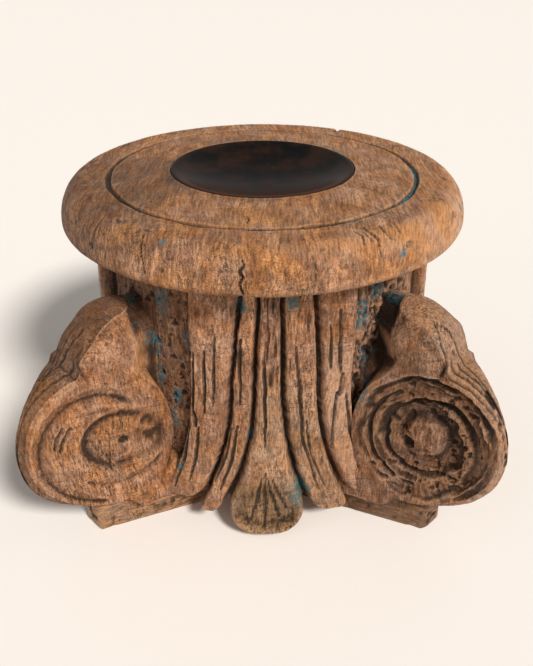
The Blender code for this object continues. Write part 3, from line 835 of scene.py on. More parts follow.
def bell_surface(size, disc):
    """Points and marks of the bell from the leaf tips up to the disc, level by level."""
    top = disc.height - disc.thickness
    faces, leaves, across = bell_columns()
    half_face = [0.0, size.wide_rise, size.narrow_rise]
    rise = np.array(half_face + [size.tongue_rise] + half_face[::-1])[leaves]
    foot = np.array(LEAF_FEET)[leaves]
    blunt = np.where(leaves == 3, 2.4, 3.8)
    full = np.where(rise > 0.0, 1.0 - np.abs(2.0 * across - 1.0) ** 7.0, 0.0)
    tip = np.where(rise > 0.0, np.abs(2.0 * across - 1.0) ** blunt, 1.0)
    edge_foot = foot + tip * np.array(TIP_ROUNDS)[leaves]
    level = np.linspace(0.0, 1.0, 147)[:, None] ** 1.15
    height = edge_foot + (top + OVERLAP - edge_foot) * level
    borders = [np.full(height.shape, -45.0)]
    for index, line in enumerate(LEAF_LINES):
        wobble = 0.22 * noise(height / 12.0, faces * 7.3 + index * 3.1, 0.0, 30)
        wobble = wobble + 0.16 * noise(height / 2.2, faces * 5.3 + index * 4.1, 0.0, 29)
        borders.append(leaf_border(line, height, top) + wobble)
    borders = np.stack(borders + [np.full(height.shape, 45.0)])
    columns = np.arange(len(leaves))
    left = borders[leaves, :, columns].T
    right = borders[leaves + 1, :, columns].T
    angle = left + (right - left) * across
    round_angle = (angle + faces * 90.0 + 180.0) % 360.0 - 180.0
    reach = ground_reach(size, np.radians(angle), height, top) + rise * full
    curl = np.array(LEAF_CURLS)[leaves] * (np.clip(60.0 - height, 0.0, 60.0) / 60.0) ** 1.6
    reach += curl * (0.35 + 0.65 * full)
    lift = height - edge_foot
    inset = 1.0 - np.sqrt(1.0 - np.clip(1.0 - lift / 4.5, 0.0, 1.0) ** 2)
    reach -= inset * (2.0 + 3.5 * full) * np.where(rise > 0.0, 1.0, 0.4)
    on_leaf = np.where(rise > 0.0, smooth_step(0.25, 0.7, full), 0.0)
    cut = leaf_cut_depth(angle, height, round_angle) * on_leaf
    rough, eaten, right_zone, left_zone = rough_zones(size, round_angle, height)
    front = faces == 0
    ground = rise == 0.0
    plain_nicks = 0.9 * punched(np.radians(round_angle) * MEAN_REACH, height, 6.0, 1.8, 0.4, 47) * ground
    waves = 0.10 * np.sin((height + 2.5 * noise(angle / 4.0, height / 8.0, 0.0, 48)) * 2.6)
    waves = waves * (leaves == 5) * smooth_step(78.0, 60.0, height)
    hollow = 0.9 * (1.0 - np.abs(2.0 * across - 1.0) ** 2) * (rise > 0.0) * smooth_step(30.0, 60.0, height)
    ragged = layered(round_angle * DEGREE / 1.6, height / 5.0, 0.0, 49, 3) * np.abs(2.0 * across - 1.0) ** 2
    sink = 0.8 * cut * size.cut_depth + rough * (ground | front) + eaten * ground + plain_nicks + waves
    dished = np.clip(1.0 - np.abs(2.0 * across - 1.0) ** 3.5 - 0.2, 0.0, 1.0)
    spoon = (leaves == 3) * smooth_step(36.0, 24.0, height) * smooth_step(1.5, 8.0, lift)
    sink = sink + 4.6 * spoon * dished
    sink = sink + hollow + 0.55 * (1.0 + ragged) * np.where(rise > 0.0, 0.8, 1.0)
    reach = reach - sink
    turn = np.radians(round_angle)
    points = np.stack([reach * np.sin(turn), -reach * np.cos(turn), height], axis=-1)
    # Painted shade under the disc's overhang
    painted_shade_under_disc = smooth_step(top - 9.0, top, height) * 0.22
    dirt_and_shade = 0.12 * cut + 0.04 * right_zone * ground + painted_shade_under_disc + 0.36 * left_zone * ground
    dirt_and_shade = dirt_and_shade + 0.26 * np.clip(eaten / size.erosion, 0.0, 1.0)
    dirt_and_shade = dirt_and_shade + 0.36 * (1.0 - full) ** 3 * (rise > 0.0) * smooth_step(6.0, 16.0, lift)
    dirt_and_shade = dirt_and_shade + 0.34 * spoon * dished + 0.14 * (leaves == 3) * smooth_step(44.0, 24.0, height)
    wear_and_highlight = 0.22 * smooth_step(70.0, 40.0, height) * full * (rise > 0.0) * smooth_step(12.0, 30.0, height)
    worn_leaf = full * smooth_step(20.0, 40.0, height) * smooth_step(120.0, 90.0, height)
    worn_tongue = full * smooth_step(42.0, 60.0, height) * smooth_step(126.0, 100.0, height)
    # The wear on the eroded right ground is partly painted light, where the right horn shades it
    wear_and_highlight = wear_and_highlight + 1.1 * (leaves == 5) * worn_leaf + 0.60 * right_zone * ground
    wear_and_highlight = wear_and_highlight + 0.50 * (leaves == 3) * worn_tongue
    damp = np.array((0.0, 0.1, 0.3, 0.45, 0.55, 0.0, 0.0))[leaves] * smooth_step(120.0, 60.0, height)
    moss = np.maximum(damp, (leaves == 3) * smooth_step(44.0, 28.0, height))
    marks = {"dirt_and_shade": dirt_and_shade, "wear_and_highlight": wear_and_highlight, "paint": bell_paint(round_angle, height), "moss": moss}
    return points, marks, turn


def build_bell(context):
    size = in_mm(context.scene.base_bell)
    disc = in_mm(context.scene.base_disc)
    points, marks, turn = bell_surface(size, disc)
    around = np.stack([np.sin(turn[0]), -np.cos(turn[0])], axis=-1)
    top = disc.height - disc.thickness + OVERLAP
    inside = ((BORE, top), (BORE, SOLE_HEIGHT), (SOLE_REACH, SOLE_HEIGHT))
    rings = [np.insert(around * reach, 2, height, axis=1) for reach, height in inside]
    closed = np.concatenate([points, rings])
    blank = np.zeros((len(rings), len(around)))
    marks = {name: np.concatenate([value, blank]).ravel() for name, value in marks.items()}
    material = wood_material("leaf wood", context.scene.base_wood, 0.78, 0.42, (1.08, 1.08, 1.15))
    faces = grid_faces(closed.shape[0], closed.shape[1], True)
    carved_piece("leafy_bell", closed.reshape(-1, 3), faces, marks, material)


# The corner horns

# Each groove as turns in degrees from the bottom, going outwards, and shares of the scroll's size,
# with its width and its share of the depth
ROUND_SCROLL = (
    (((12, 0.93), (40, 0.90), (90, 0.84), (130, 0.78), (170, 0.70), (215, 0.60)), 10.0, 0.55),
    (((300, 0.84), (330, 0.72), (370, 0.64), (392, 0.62)), 6.0, 0.2),
    (((94, 0.60), (112, 0.57), (130, 0.555)), 1.9, 0.3),
    (((98, 0.68), (126, 0.64)), 1.9, 0.26),
)
STEPPED_SCROLL = (
    (((40, 0.93), (56, 0.94), (90, 0.945), (115, 0.93), (130, 0.91), (180, 0.88), (215, 0.84)), 5.0, 1.1),
    (((50, 0.80), (57, 0.78), (88, 0.73), (110, 0.68), (145, 0.64), (169, 0.56), (216, 0.50)), 5.5, 1.5),
    (((216, 0.50), (250, 0.54), (290, 0.52), (330, 0.50), (365, 0.52), (400, 0.58)), 6.0, 1.15),
    (((226, 0.72), (258, 0.76), (300, 0.72), (335, 0.70)), 5.0, 0.85),
)


# The height of the horns' lower side, the width of their outer strip and its rows of points
STEM_HEIGHT = 15.0
STRIP_WIDTH = 27.0
STRIP_ROWS = 26


def scroll_rim(size, turn):
    return size.eye_reach + size.half_width * np.cos(turn), size.eye_height + size.half_height * np.sin(turn)


def horn_outline(size):
    """Side view of a horn, round its stem, scroll and nose and down inside the bell."""
    stem = np.linspace(size.root, size.eye_reach - 12.0, 26)
    arc = scroll_rim(size, np.radians(np.linspace(-98.0, 74.0, 156)))
    shoulder = (arc[0][-1], arc[1][-1])
    lift = size.nose_height - shoulder[1]
    share = np.linspace(0.0, 1.0, 50)[1:]
    rest = 1.0 - share
    weights = (rest**3, 3.0 * share * rest**2, 3.0 * share**2 * rest, share**3)
    reaches = (shoulder[0], shoulder[0] - 6.0, size.nose_reach + 16.0, size.nose_reach - 14.0)
    heights = (shoulder[1], shoulder[1] + 0.25 * lift, size.nose_height - 0.02 * lift, size.nose_height)
    nose = (sum(w * v for w, v in zip(weights, reaches)), sum(w * v for w, v in zip(weights, heights)))
    back = np.linspace(size.nose_height, STEM_HEIGHT, 14)[:-1]
    reach = np.concatenate([stem, arc[0], nose[0], np.full(len(back), size.root)])
    height = np.concatenate([np.full(len(stem), STEM_HEIGHT), arc[1], nose[1], back])
    steps = np.hypot(np.diff(reach), np.diff(height))
    return reach, height, np.concatenate([[0.0], np.cumsum(steps)])


def scroll_place(size, reach, height):
    """Place on the scroll as shares of its half width and half height, and their distance from the eye."""
    half_width = np.where(reach > size.eye_reach, size.half_width, size.inner_half_width)
    across = (reach - size.eye_reach) / half_width
    up = (height - size.eye_height) / size.half_height
    return across, up, np.hypot(across, up)


def stepped_scroll(size, reach, height, depth, ring, turn):
    """Deepens the grooves with a scroll that goes down in ragged steps to a rough boss."""
    ragged = 0.07 * layered(turn / 16.0, ring * 7.0, 0.0, 55, 3)
    uneven = 0.07 * np.cos(np.radians(turn - 150.0))
    outer = smooth_step(300.0, 215.0, turn) * smooth_step(5.0, 40.0, turn)
    wall = smooth_step(0.90, 0.83, ring + ragged)
    step = smooth_step(0.61, 0.53, ring - ragged + uneven)
    low = (1.0 + 3.0 * outer) * wall + (2.6 + 1.2 * outer) * step
    scars = 1.5 * smooth_step(0.1, 0.6, layered(reach / 3.0, height / 3.0, 0.0, 56, 3)) * wall
    depth = np.maximum(depth + 0.5 * low, low) + scars
    centre = (size.eye_reach + 2.5, size.eye_height + 1.5)
    eye = np.hypot((reach - centre[0]) / 34.0, (height - centre[1]) / 42.0)
    boss = smooth_step(0.34, 0.22, eye + 0.5 * ragged)
    chips = 1.0 * np.abs(noise(reach / 4.5, height / 4.5, 0.0, 57))
    depth = depth * (1.0 - boss) + (1.2 + 10.0 * eye**2 + chips) * boss
    pit = np.hypot((reach - centre[0] + 6.5) * 1.2, height - centre[1] + 4.0)
    pit = 4.0 * smooth_step(4.5, 2.0, pit + 2.0 * layered(reach / 3.0, height / 3.0, 0.0, 58, 2))
    fan = np.abs(np.sin(np.radians(turn) * 31.0)) ** 3
    fan = fan * smooth_step(40.0, 20.0, np.abs((turn - 350.0) % 360.0 - 20.0))
    return depth + pit + 0.5 * fan * smooth_step(0.52, 0.60, ring) * smooth_step(0.86, 0.78, ring)


def scroll_cuts(size, reach, height, stepped):
    """Depth of the scroll's grooves and of the hollow round its eye."""
    across, up, ring = scroll_place(size, reach, height)
    turn = np.degrees(np.arctan2(across, -up)) % 360.0
    wander = 0.008 * noise(turn / 25.0, ring * 3.0, 0.0, 51)
    ring = ring + wander + 0.007 * noise(turn / 4.0, ring * 14.0, 0.0, 52)
    depth = np.zeros(ring.shape)
    for line, width, share in STEPPED_SCROLL if stepped else ROUND_SCROLL:
        spots = [(spot_turn * 0.5, spot_ring * 40.0) for spot_turn, spot_ring in line]
        for extra in (0.0, 360.0):
            gap, along = near_line((turn + extra) * 0.5, ring * 40.0, spots)
            ends = smooth_step(0.0, 0.12, along) * smooth_step(1.0, 0.88, along)
            half = 0.5 * width * (0.45 + 0.55 * ends)
            cut = np.clip(1.0 - gap / half, 0.0, 1.0) ** 0.85
            depth = np.maximum(depth, size.cut_depth * share * cut)
    if stepped:
        return stepped_scroll(size, reach, height, depth, ring, turn)
    centre = (size.eye_reach - 7.0, size.eye_height - 1.5)
    eye = np.hypot((reach - centre[0]) / 45.0, (height - centre[1]) / 42.0)
    side = 0.35 + 0.65 * smooth_step(150.0, 60.0, np.abs(turn - 90.0))
    bowl = np.clip(eye / 0.38, 0.0, 1.0) ** 2.6 * (1.0 - smooth_step(0.375, 0.50, eye))
    bowl = 0.62 * size.eye_sink * side * bowl
    lean = noise(reach / 8.0, height / 8.0, 0.0, 53)
    facets = (1.1 * np.abs(lean) + 0.5 * smooth_step(0.1, 0.2, lean)) * smooth_step(0.40, 0.34, eye)
    torn = layered(reach / 5.0, height / 5.0, 0.0, 54, 3)
    pit = np.hypot(reach - centre[0] + 14.5, (height - centre[1] + 0.5) * 0.8)
    pit = 1.3 * smooth_step(4.6, 2.2, pit + 1.8 * torn)
    hole = 1.8 * smooth_step(0.06, 0.02, eye)
    return np.maximum(depth, bowl + facets + hole + pit)


def horn_half(size, reach, height, stepped, edge=0.0):
    """Half the horn's thickness with its carving, and the cut's depth."""
    across, up, ring = scroll_place(size, reach, height)
    wedge = size.half_thickness - 0.357 * (reach - size.eye_reach)
    rise = smooth_step(size.eye_height + size.half_height, size.nose_height, height)
    if stepped:
        pinch = smooth_step(104.0, 95.0, reach) * smooth_step(92.0, 106.0, height)
        bulb = np.exp(-(((reach - 111.0) / 10.0) ** 2) - ((height - 117.0) / 15.0) ** 2)
        nose = 14.5 - 3.0 * rise - 8.0 * pinch + 6.5 * bulb
    else:
        nose = 21.5 - 6.0 * rise - 7.5 * smooth_step(107.0, 92.0, reach)
    stem = np.where(across < 0.3, smooth_step(-0.35, -0.75, up), 0.0)
    spread = 0.14 + 0.30 * smooth_step(-0.6, -0.1, across)
    outside = smooth_step(1.0, 1.0 + spread, ring) * (1.0 - stem)
    back = np.where(up > 0.4, nose, np.minimum(nose, wedge - 12.0))
    depth = scroll_cuts(size, reach, height, stepped) * (1.0 - outside)
    carved = wedge - depth
    half = carved + (np.minimum(back, carved) - carved) * outside
    rounding = 1.6 * smooth_step(0.93, 1.0, ring) ** 2 * smooth_step(-0.2, 0.4, across) * (1.0 - outside)
    rounding += 4.0 * edge**3 * (up > 0.4)
    return np.maximum(half - rounding, 3.0), depth


# Cuts on the outer strip as shares of its width and lengths along it: some strokes, or a leaf with veins
STROKED_STRIP = (
    ((0.88, 190.0), (0.80, 170.0), (0.64, 146.0), (0.60, 120.0), (0.66, 96.0)),
    ((0.60, 191.0), (0.52, 176.0), (0.44, 164.0)),
    ((0.34, 190.0), (0.33, 176.0), (0.44, 160.0), (0.60, 143.0)),
    ((0.20, 180.0), (0.30, 160.0)),
)
LEAFED_STRIP = (
    ((0.24, 196.0), (0.11, 187.0), (0.07, 172.0), (0.11, 154.0), (0.26, 134.0), (0.40, 114.0)),
    ((0.28, 196.0), (0.44, 188.0), (0.53, 170.0), (0.53, 148.0), (0.44, 118.0)),
    ((0.20, 182.0), (0.25, 162.0), (0.34, 140.0)),
    ((0.34, 180.0), (0.40, 158.0), (0.42, 138.0)),
    ((0.84, 160.0), (0.74, 128.0), (0.76, 104.0)),
)


def strip_cuts(share, length_along, corner):
    """Strokes cut on the horn's outer strip, counted across it from the side that the front shows."""
    across = share * STRIP_WIDTH + 0.12 * noise(length_along / 8.0, corner * 9.7, 0.0, 61)
    lines = STROKED_STRIP if corner in (2, 3) else LEAFED_STRIP
    depth = np.zeros(np.broadcast_shapes(np.shape(across), np.shape(length_along)))
    across, length_along = np.broadcast_arrays(across, length_along)
    for line in lines:
        spots = [(spot * STRIP_WIDTH, at) for spot, at in line]
        depth = np.maximum(depth, gouged(across, length_along, spots, 1.7))
    return depth


def horn_points(size, corner):
    """Points and cut depths of one horn, side, outer strip and other side, with a point in each eye."""
    rim_reach, rim_height, length_along = horn_outline(size)
    rim_ring = np.maximum(scroll_place(size, rim_reach, rim_height)[2], 1.0)
    inner = np.linspace(0.0, 1.0, 49)[1:, None] + rim_ring * 0.0
    outer = 1.0 + (rim_ring - 1.0) * np.linspace(0.0, 1.0, 25)[1:, None] ** 1.4
    share = np.concatenate([inner, outer]) / scroll_place(size, rim_reach, rim_height)[2]
    share = np.minimum(share, 1.0)
    reach = size.eye_reach + (rim_reach - size.eye_reach) * share
    height = size.eye_height + (rim_height - size.eye_height) * share
    edge = smooth_step(0.62, 1.0, share) * smooth_step(1.0, 1.12, rim_ring)
    turn = radians(45.0 + corner * 90.0)
    out = np.array([np.sin(turn), -np.cos(turn)])
    side = np.array([np.cos(turn), np.sin(turn)])

    def placed(reach_at, height_at, aside):
        plan = reach_at[..., None] * out + aside[..., None] * side
        return np.concatenate([plan, height_at[..., None]], axis=-1)

    sides, cuts, middles = [], [], []
    for sign in (-1.0, 1.0):
        stepped = sign < 0.0
        half, depth = horn_half(size, reach, height, stepped, edge)
        sides.append(placed(reach, height, sign * half))
        cuts.append(depth / (1.7 * size.cut_depth if stepped else size.cut_depth))
        eye_half = horn_half(size, np.array([size.eye_reach]), np.array([size.eye_height]), stepped)[0]
        middles.append(placed(np.array([size.eye_reach]), np.array([size.eye_height]), sign * eye_half))
    across = (np.arange(1, STRIP_ROWS + 1) / (STRIP_ROWS + 1.0))[:, None]
    along = np.hypot(rim_reach - size.eye_reach, rim_height - size.eye_height)
    push = np.stack([(rim_reach - size.eye_reach) / along, (rim_height - size.eye_height) / along], axis=-1)
    free = smooth_step(size.root + 5.0, size.root + 35.0, rim_reach)
    vein = strip_cuts(across, length_along[None, :], corner)
    bulge = (size.crown * 4.0 * across * (1.0 - across) - 1.3 * vein - 0.2) * free
    strip = sides[0][-1][None] * (1.0 - across[..., None]) + sides[1][-1][None] * across[..., None]
    strip = strip + np.concatenate([push[:, :1] * out, push[:, 1:]], axis=-1)[None] * bulge[..., None]
    points = np.concatenate([sides[0], strip, sides[1][::-1]])
    cut = np.concatenate([cuts[0], vein, cuts[1][::-1]])
    return points, cut, middles


def horn_marks(points, cut):
    """Grime in the cuts, wear on what stands out, and paint where the horn meets the ground."""
    plan = np.abs(points[..., 0]) + np.abs(points[..., 1])
    reach = plan / np.sqrt(2.0)
    height = points[..., 2]
    rooted = smooth_step(104.0, 92.0, reach) * smooth_step(40.0, 60.0, height)
    dirt_and_shade = 0.36 * np.clip(cut, 0.0, 1.2) + 0.22 * rooted
    wear_and_highlight = 0.35 * smooth_step(140.0, 158.0, reach) * smooth_step(35.0, 75.0, height)
    paint = 1.2 * smooth_step(108.0, 97.0, reach) * smooth_step(60.0, 85.0, height)
    paint = paint * smooth_step(142.0, 132.0, height)
    flaked = noise(points[..., 0] / 7.0, points[..., 1] / 7.0, height / 14.0, 63)
    paint = paint * smooth_step(-0.1, 0.5, flaked)
    return {"dirt_and_shade": dirt_and_shade, "wear_and_highlight": wear_and_highlight, "paint": paint}


# The ageing of each horn, from the front right one round to the front left one:
# bleach, stain and warmth, its share of the paint, and the wear with painted highlight and the dirt with
# painted shade on its outer strip
HORN_AGES = (
    (0.46, 0.56, (0.95, 0.98, 1.06), 0.75, 0.55, 0.0),
    (0.5, 0.4, (1.0, 1.0, 1.0), 0.45, 0.2, 0.05),
    (0.5, 0.4, (1.0, 1.0, 1.0), 0.45, 0.2, 0.05),
    (0.72, 0.30, (1.08, 1.0, 0.92), 0.75, 0.0, 0.60),
)


def build_horns(context):
    size = in_mm(context.scene.base_horn)
    for corner, (bleach, stain, warmth, paint, wear_and_highlight, dirt_and_shade) in enumerate(HORN_AGES):
        points, cut, middles = horn_points(size, corner)
        rows, columns = points.shape[:2]
        marks = horn_marks(points, cut)
        first = (rows - STRIP_ROWS) // 2
        strip = slice(first, first + STRIP_ROWS)
        marks["paint"] *= paint
        # Painted highlight on the front right strip, which faces the light, and painted shade on the front left
        # strip, which faces away
        marks["wear_and_highlight"][strip] += wear_and_highlight
        marks["dirt_and_shade"][strip] += dirt_and_shade
        if corner == 0:
            marks["paint"][strip] += 0.45 * smooth_step(0.3, 0.7, cut[strip])
            # Painted shade on the front right horn's side that faces away from the light
            marks["dirt_and_shade"][:first] += 0.10
        marks = {name: np.concatenate([value.ravel(), [0.3, 0.3]]) for name, value in marks.items()}
        closed = np.concatenate([points.reshape(-1, 3)] + middles)
        material = wood_material("horn wood %d" % corner, context.scene.base_wood, bleach, stain, warmth)
        faces = capped_faces(rows, columns)
        carved_piece("corner_horn_%d" % corner, closed, faces, marks, material, 0.85)


# The foot plate


def plate_edge(size):
    """Points round the star, close together, starting at the middle of the front side."""
    corners = []
    for corner in range(4):
        turn = radians(45.0 + corner * 90.0)
        out = np.array([np.sin(turn), -np.cos(turn)])
        side = np.array([np.cos(turn), np.sin(turn)])
        notch = radians(corner * 90.0)
        corners.append(np.array([np.sin(notch), -np.cos(notch)]) * size.notch)
        for sign in (-1.0, 1.0):
            tip = out * size.corner_reach + side * sign * 0.5 * size.corner_width
            pair = [tip - out * 2.2, tip - out * 0.6 - side * sign * 0.6, tip - side * sign * 2.2]
            corners += pair if sign < 0.0 else pair[::-1]
    edge = []
    for index, start in enumerate(corners):
        end = corners[(index + 1) % len(corners)]
        count = max(1, round(float(np.linalg.norm(end - start)) / 1.4))
        edge += [start + (end - start) * step / count for step in range(count)]
    return np.array(edge)


def build_plate(context):
    size = in_mm(context.scene.base_plate)
    edge = plate_edge(size)
    radius = np.linalg.norm(edge, axis=1, keepdims=True)
    top = size.thickness
    rows = [(0.5, 0.0, 0.0), (0.9, 0.0, 0.0), (1.0, 1.3, 0.0), (1.0, 0.4, 0.4), (1.0, 0.0, 1.3)]
    rows += [(1.0, 0.0, height) for height in np.linspace(2.4, top - 2.6, 9)]
    rows += [(1.0, 0.0, top - 1.5), (1.0, 0.5, top - 0.5), (1.0, 1.5, top)]
    rows += [(share, 2.0, top) for share in (0.97, 0.94, 0.9, 0.84, 0.7, 0.4)]
    layers = []
    for share, inset, height in rows:
        ring = edge * share * (1.0 - inset / radius)
        layers.append(np.concatenate([ring, np.full((len(ring), 1), height)], axis=1))
    points = np.stack(layers)
    chips = smooth_step(0.25, 0.6, layered(*np.moveaxis(points / 6.0, -1, 0), 71, 2))
    points[..., :2] *= 1.0 - 0.010 * chips[..., None]
    height = points[..., 2]
    reach = np.hypot(points[..., 0], points[..., 1])
    wear_and_highlight = 0.35 * smooth_step(95.0, 125.0, reach)
    dirt_and_shade = 0.22 * smooth_step(95.0, 75.0, reach) * (height > 0.5)
    dirt_and_shade = dirt_and_shade + 0.25 * smooth_step(2.0, 0.3, height)
    dirt_and_shade = dirt_and_shade + 0.42 * (points[..., 0] > 0.0) * (points[..., 1] < 0.0)
    marks = {"dirt_and_shade": np.append(dirt_and_shade.ravel(), [0.2, 0.2]), "wear_and_highlight": np.append(wear_and_highlight.ravel(), [0.0, 0.0])}
    faces = capped_faces(len(rows), len(edge))
    closed = np.concatenate([points.reshape(-1, 3), [[0.0, 0.0, 0.0], [0.0, 0.0, top]]])
    warmth, grain = (0.92, 0.95, 0.95), (0.2, 0.2, 1.0)
    material = wood_material("plate wood", context.scene.base_wood, 0.40, 0.60, warmth, grain)
    piece = carved_piece("foot_plate", closed, faces, marks, material, 0.0)
    wear_plate_sides(piece.data)


def wear_plate_sides(mesh):
    """Wears the plate's sides and leaves its underside flat."""
    points, normals = read_points(mesh)
    x, y, z = points.T
    sink = 0.25 + 0.25 * layered(x / 9.0, y / 9.0, z / 5.0, 72)
    sink += 0.12 * noise(x / 1.3, y / 1.3, z / 7.0, 73)
    points[:, :2] -= normals[:, :2] * (sink * smooth_step(0.0, 0.8, z))[:, None]
    write_points(mesh, points)


# The dark metal dish

# The dish's outline from its middle over the rim to the foot, as shares of its radius and of its drop
DISH_OUTLINE = (
    (0.0, 0.856), (0.12, 0.842), (0.239, 0.80), (0.36, 0.735), (0.478, 0.642), (0.60, 0.522), (0.717, 0.374),
    (0.80, 0.255), (0.87, 0.140), (0.925, 0.055), (0.955, 0.012), (0.975, 0.0), (0.992, 0.015), (1.0, 0.06),
    (0.985, 0.15), (0.86, 0.52), (0.72, 0.786), (0.58, 0.946), (0.44, 1.0), (0.22, 1.0), (0.0, 1.0),
)


def outline_curve(tree, value, column):
    """A curve node that reads one column of the dish's outline."""
    node = add(tree, "ShaderNodeFloatCurve", {"Value": value})
    curve = node.mapping.curves[0]
    last = len(DISH_OUTLINE) - 1
    curve.points[0].location = (0.0, DISH_OUTLINE[0][column])
    curve.points[1].location = (1.0, DISH_OUTLINE[last][column])
    for index in range(1, last):
        curve.points.new(index / last, DISH_OUTLINE[index][column])
    for point in curve.points:
        point.handle_type = "AUTO_CLAMPED"
    node.mapping.update()
    return node.outputs[0]


def dish_tree(material):
    """A grid wound round the axis, its rows set on the dish's outline."""
    tree = bpy.data.node_groups.new("turned dish", "GeometryNodeTree")
    tree.interface.new_socket(name="Geometry", in_out="OUTPUT", socket_type="NodeSocketGeometry")
    for label in ("Radius", "Drop", "Rim Height"):
        tree.interface.new_socket(name=label, in_out="INPUT", socket_type="NodeSocketFloat")
    tree.interface.new_socket(name="Segments", in_out="INPUT", socket_type="NodeSocketInt")
    given = tree.nodes.new("NodeGroupInput").outputs
    around = plus(tree, given["Segments"], 1.0)
    sheet = {"Size X": 1.0, "Size Y": 1.0, "Vertices X": around, "Vertices Y": 81}
    grid = add(tree, "GeometryNodeMeshGrid", sheet)
    spot = tree.nodes.new("GeometryNodeInputPosition").outputs[0]
    place = add(tree, "ShaderNodeSeparateXYZ", {0: spot}).outputs
    turn = times(tree, place[0], 2.0 * pi)
    along = plus(tree, place[1], 0.5)
    reach = times(tree, outline_curve(tree, along, 0), given["Radius"])
    fall = times(tree, outline_curve(tree, along, 1), given["Drop"])
    x = times(tree, calc(tree, "SINE", turn), reach)
    y = times(tree, calc(tree, "COSINE", turn), reach)
    z = minus(tree, given["Rim Height"], fall)
    position = add(tree, "ShaderNodeCombineXYZ", {0: x, 1: y, 2: z}).outputs[0]
    moved = add(tree, "GeometryNodeSetPosition", {"Geometry": grid.outputs["Mesh"], "Position": position})
    merged = add(tree, "GeometryNodeMergeByDistance", {"Geometry": moved.outputs[0], "Distance": 1e-6})
    real = add(tree, "GeometryNodeRealizeInstances", {"Geometry": merged.outputs[0]})
    dressed = add(tree, "GeometryNodeSetMaterial", {"Geometry": real.outputs[0], "Material": material})
    result = tree.nodes.new("NodeGroupOutput")
    tree.links.new(dressed.outputs[0], result.inputs["Geometry"])
    return tree


def dish_material():
    """Near-black patinated metal with brown patches, a painted brown reflection towards the front, fine turning
    lines and dust.
    """
    material = bpy.data.materials.new("dark dish metal")
    material.use_nodes = True
    tree = material.node_tree
    shader = tree.nodes["Principled BSDF"]
    place = add(tree, "ShaderNodeTexCoord").outputs["Object"]
    patches = cloudy(tree, place, 60.0, 4.0, 0.6).outputs[0]
    specks = cloudy(tree, place, 700.0, 3.0, 0.6).outputs[0]
    black, brown = (0.004, 0.0035, 0.0035, 1.0), (0.022, 0.009, 0.005, 1.0)
    shade = blend(tree, span(tree, patches, 0.40, 0.68), black, brown)
    # Painted reflection: the dish turns brown towards the front
    front = add(tree, "ShaderNodeSeparateXYZ", {0: place}).outputs[1]
    front = span(tree, plus(tree, front, times(tree, patches, 0.02)), 0.012, -0.040)
    shade = blend(tree, times(tree, front, 0.8), shade, (0.062, 0.020, 0.008, 1.0))
    shade = blend(tree, span(tree, specks, 0.66, 0.80, 0.0, 0.35), shade, (0.09, 0.06, 0.045, 1.0))
    rough = plus(tree, 0.10, times(tree, patches, 0.22))
    flat = stretched(tree, place, (1.0, 1.0, 0.0))
    wave = {"Vector": flat, "Scale": 260.0, "Distortion": 1.2, "Detail": 2.0}
    lines = add(tree, "ShaderNodeTexWave", wave, wave_type="RINGS", rings_direction="Z").outputs[1]
    lift = plus(tree, times(tree, lines, 0.25), times(tree, specks, 0.5))
    bump = add(tree, "ShaderNodeBump", {"Strength": 0.35, "Distance": 0.0002, "Height": lift})
    tree.links.new(shade, shader.inputs["Base Color"])
    tree.links.new(rough, shader.inputs["Roughness"])
    tree.links.new(bump.outputs["Normal"], shader.inputs["Normal"])
    shader.inputs["Metallic"].default_value = 0.0
    shader.inputs["Specular IOR Level"].default_value = 0.07
    return material


def build_dish(context):
    size = context.scene.base_dish
    height = context.scene.base_disc.height
    material = dish_material()
    holder = bpy.data.objects.new("metal_dish_turned", bpy.data.meshes.new("dish start"))
    context.scene.collection.objects.link(holder)
    tree = dish_tree(material)
    modifier = holder.modifiers.new("turned dish", "NODES")
    modifier.node_group = tree
    values = {"Radius": size.radius, "Drop": size.drop, "Rim Height": height, "Segments": size.segments}
    for item in tree.interface.items_tree:
        if item.in_out == "INPUT":
            modifier[item.identifier] = values[item.name]
    graph = context.evaluated_depsgraph_get()
    mesh = bpy.data.meshes.new_from_object(holder.evaluated_get(graph))
    holder.modifiers.remove(modifier)
    shape = bmesh.new()
    shape.from_mesh(mesh)
    bmesh.ops.recalc_face_normals(shape, faces=shape.faces)
    shape.to_mesh(mesh)
    shape.free()
    mesh.name = "metal dish turned"
    mesh.shade_smooth()
    holder.data = mesh
    if len(mesh.polygons) < 1000:
        raise RuntimeError("the dish has too few faces")
    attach(holder, "root")
    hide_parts("metal_dish")


# The stage


def soft_sun(name, azimuth, elevation, strength, spread, tint):
    """Even light from one side: azimuth 0 comes from the front, 90 from the right."""
    lamp = bpy.data.lights.new(name, "SUN")
    lamp.energy = strength
    lamp.angle = radians(spread)
    lamp.color = tint
    light = bpy.data.objects.new(name, lamp)
    light.rotation_euler = (radians(90.0 - elevation), 0.0, radians(azimuth))
    bpy.context.scene.collection.objects.link(light)


# The photo's camera: its place in metres, and its tilt in degrees up from straight down
CAMERA_PLACE = (0.00216, -0.3757, 0.2936)
CAMERA_TILT = 59.02


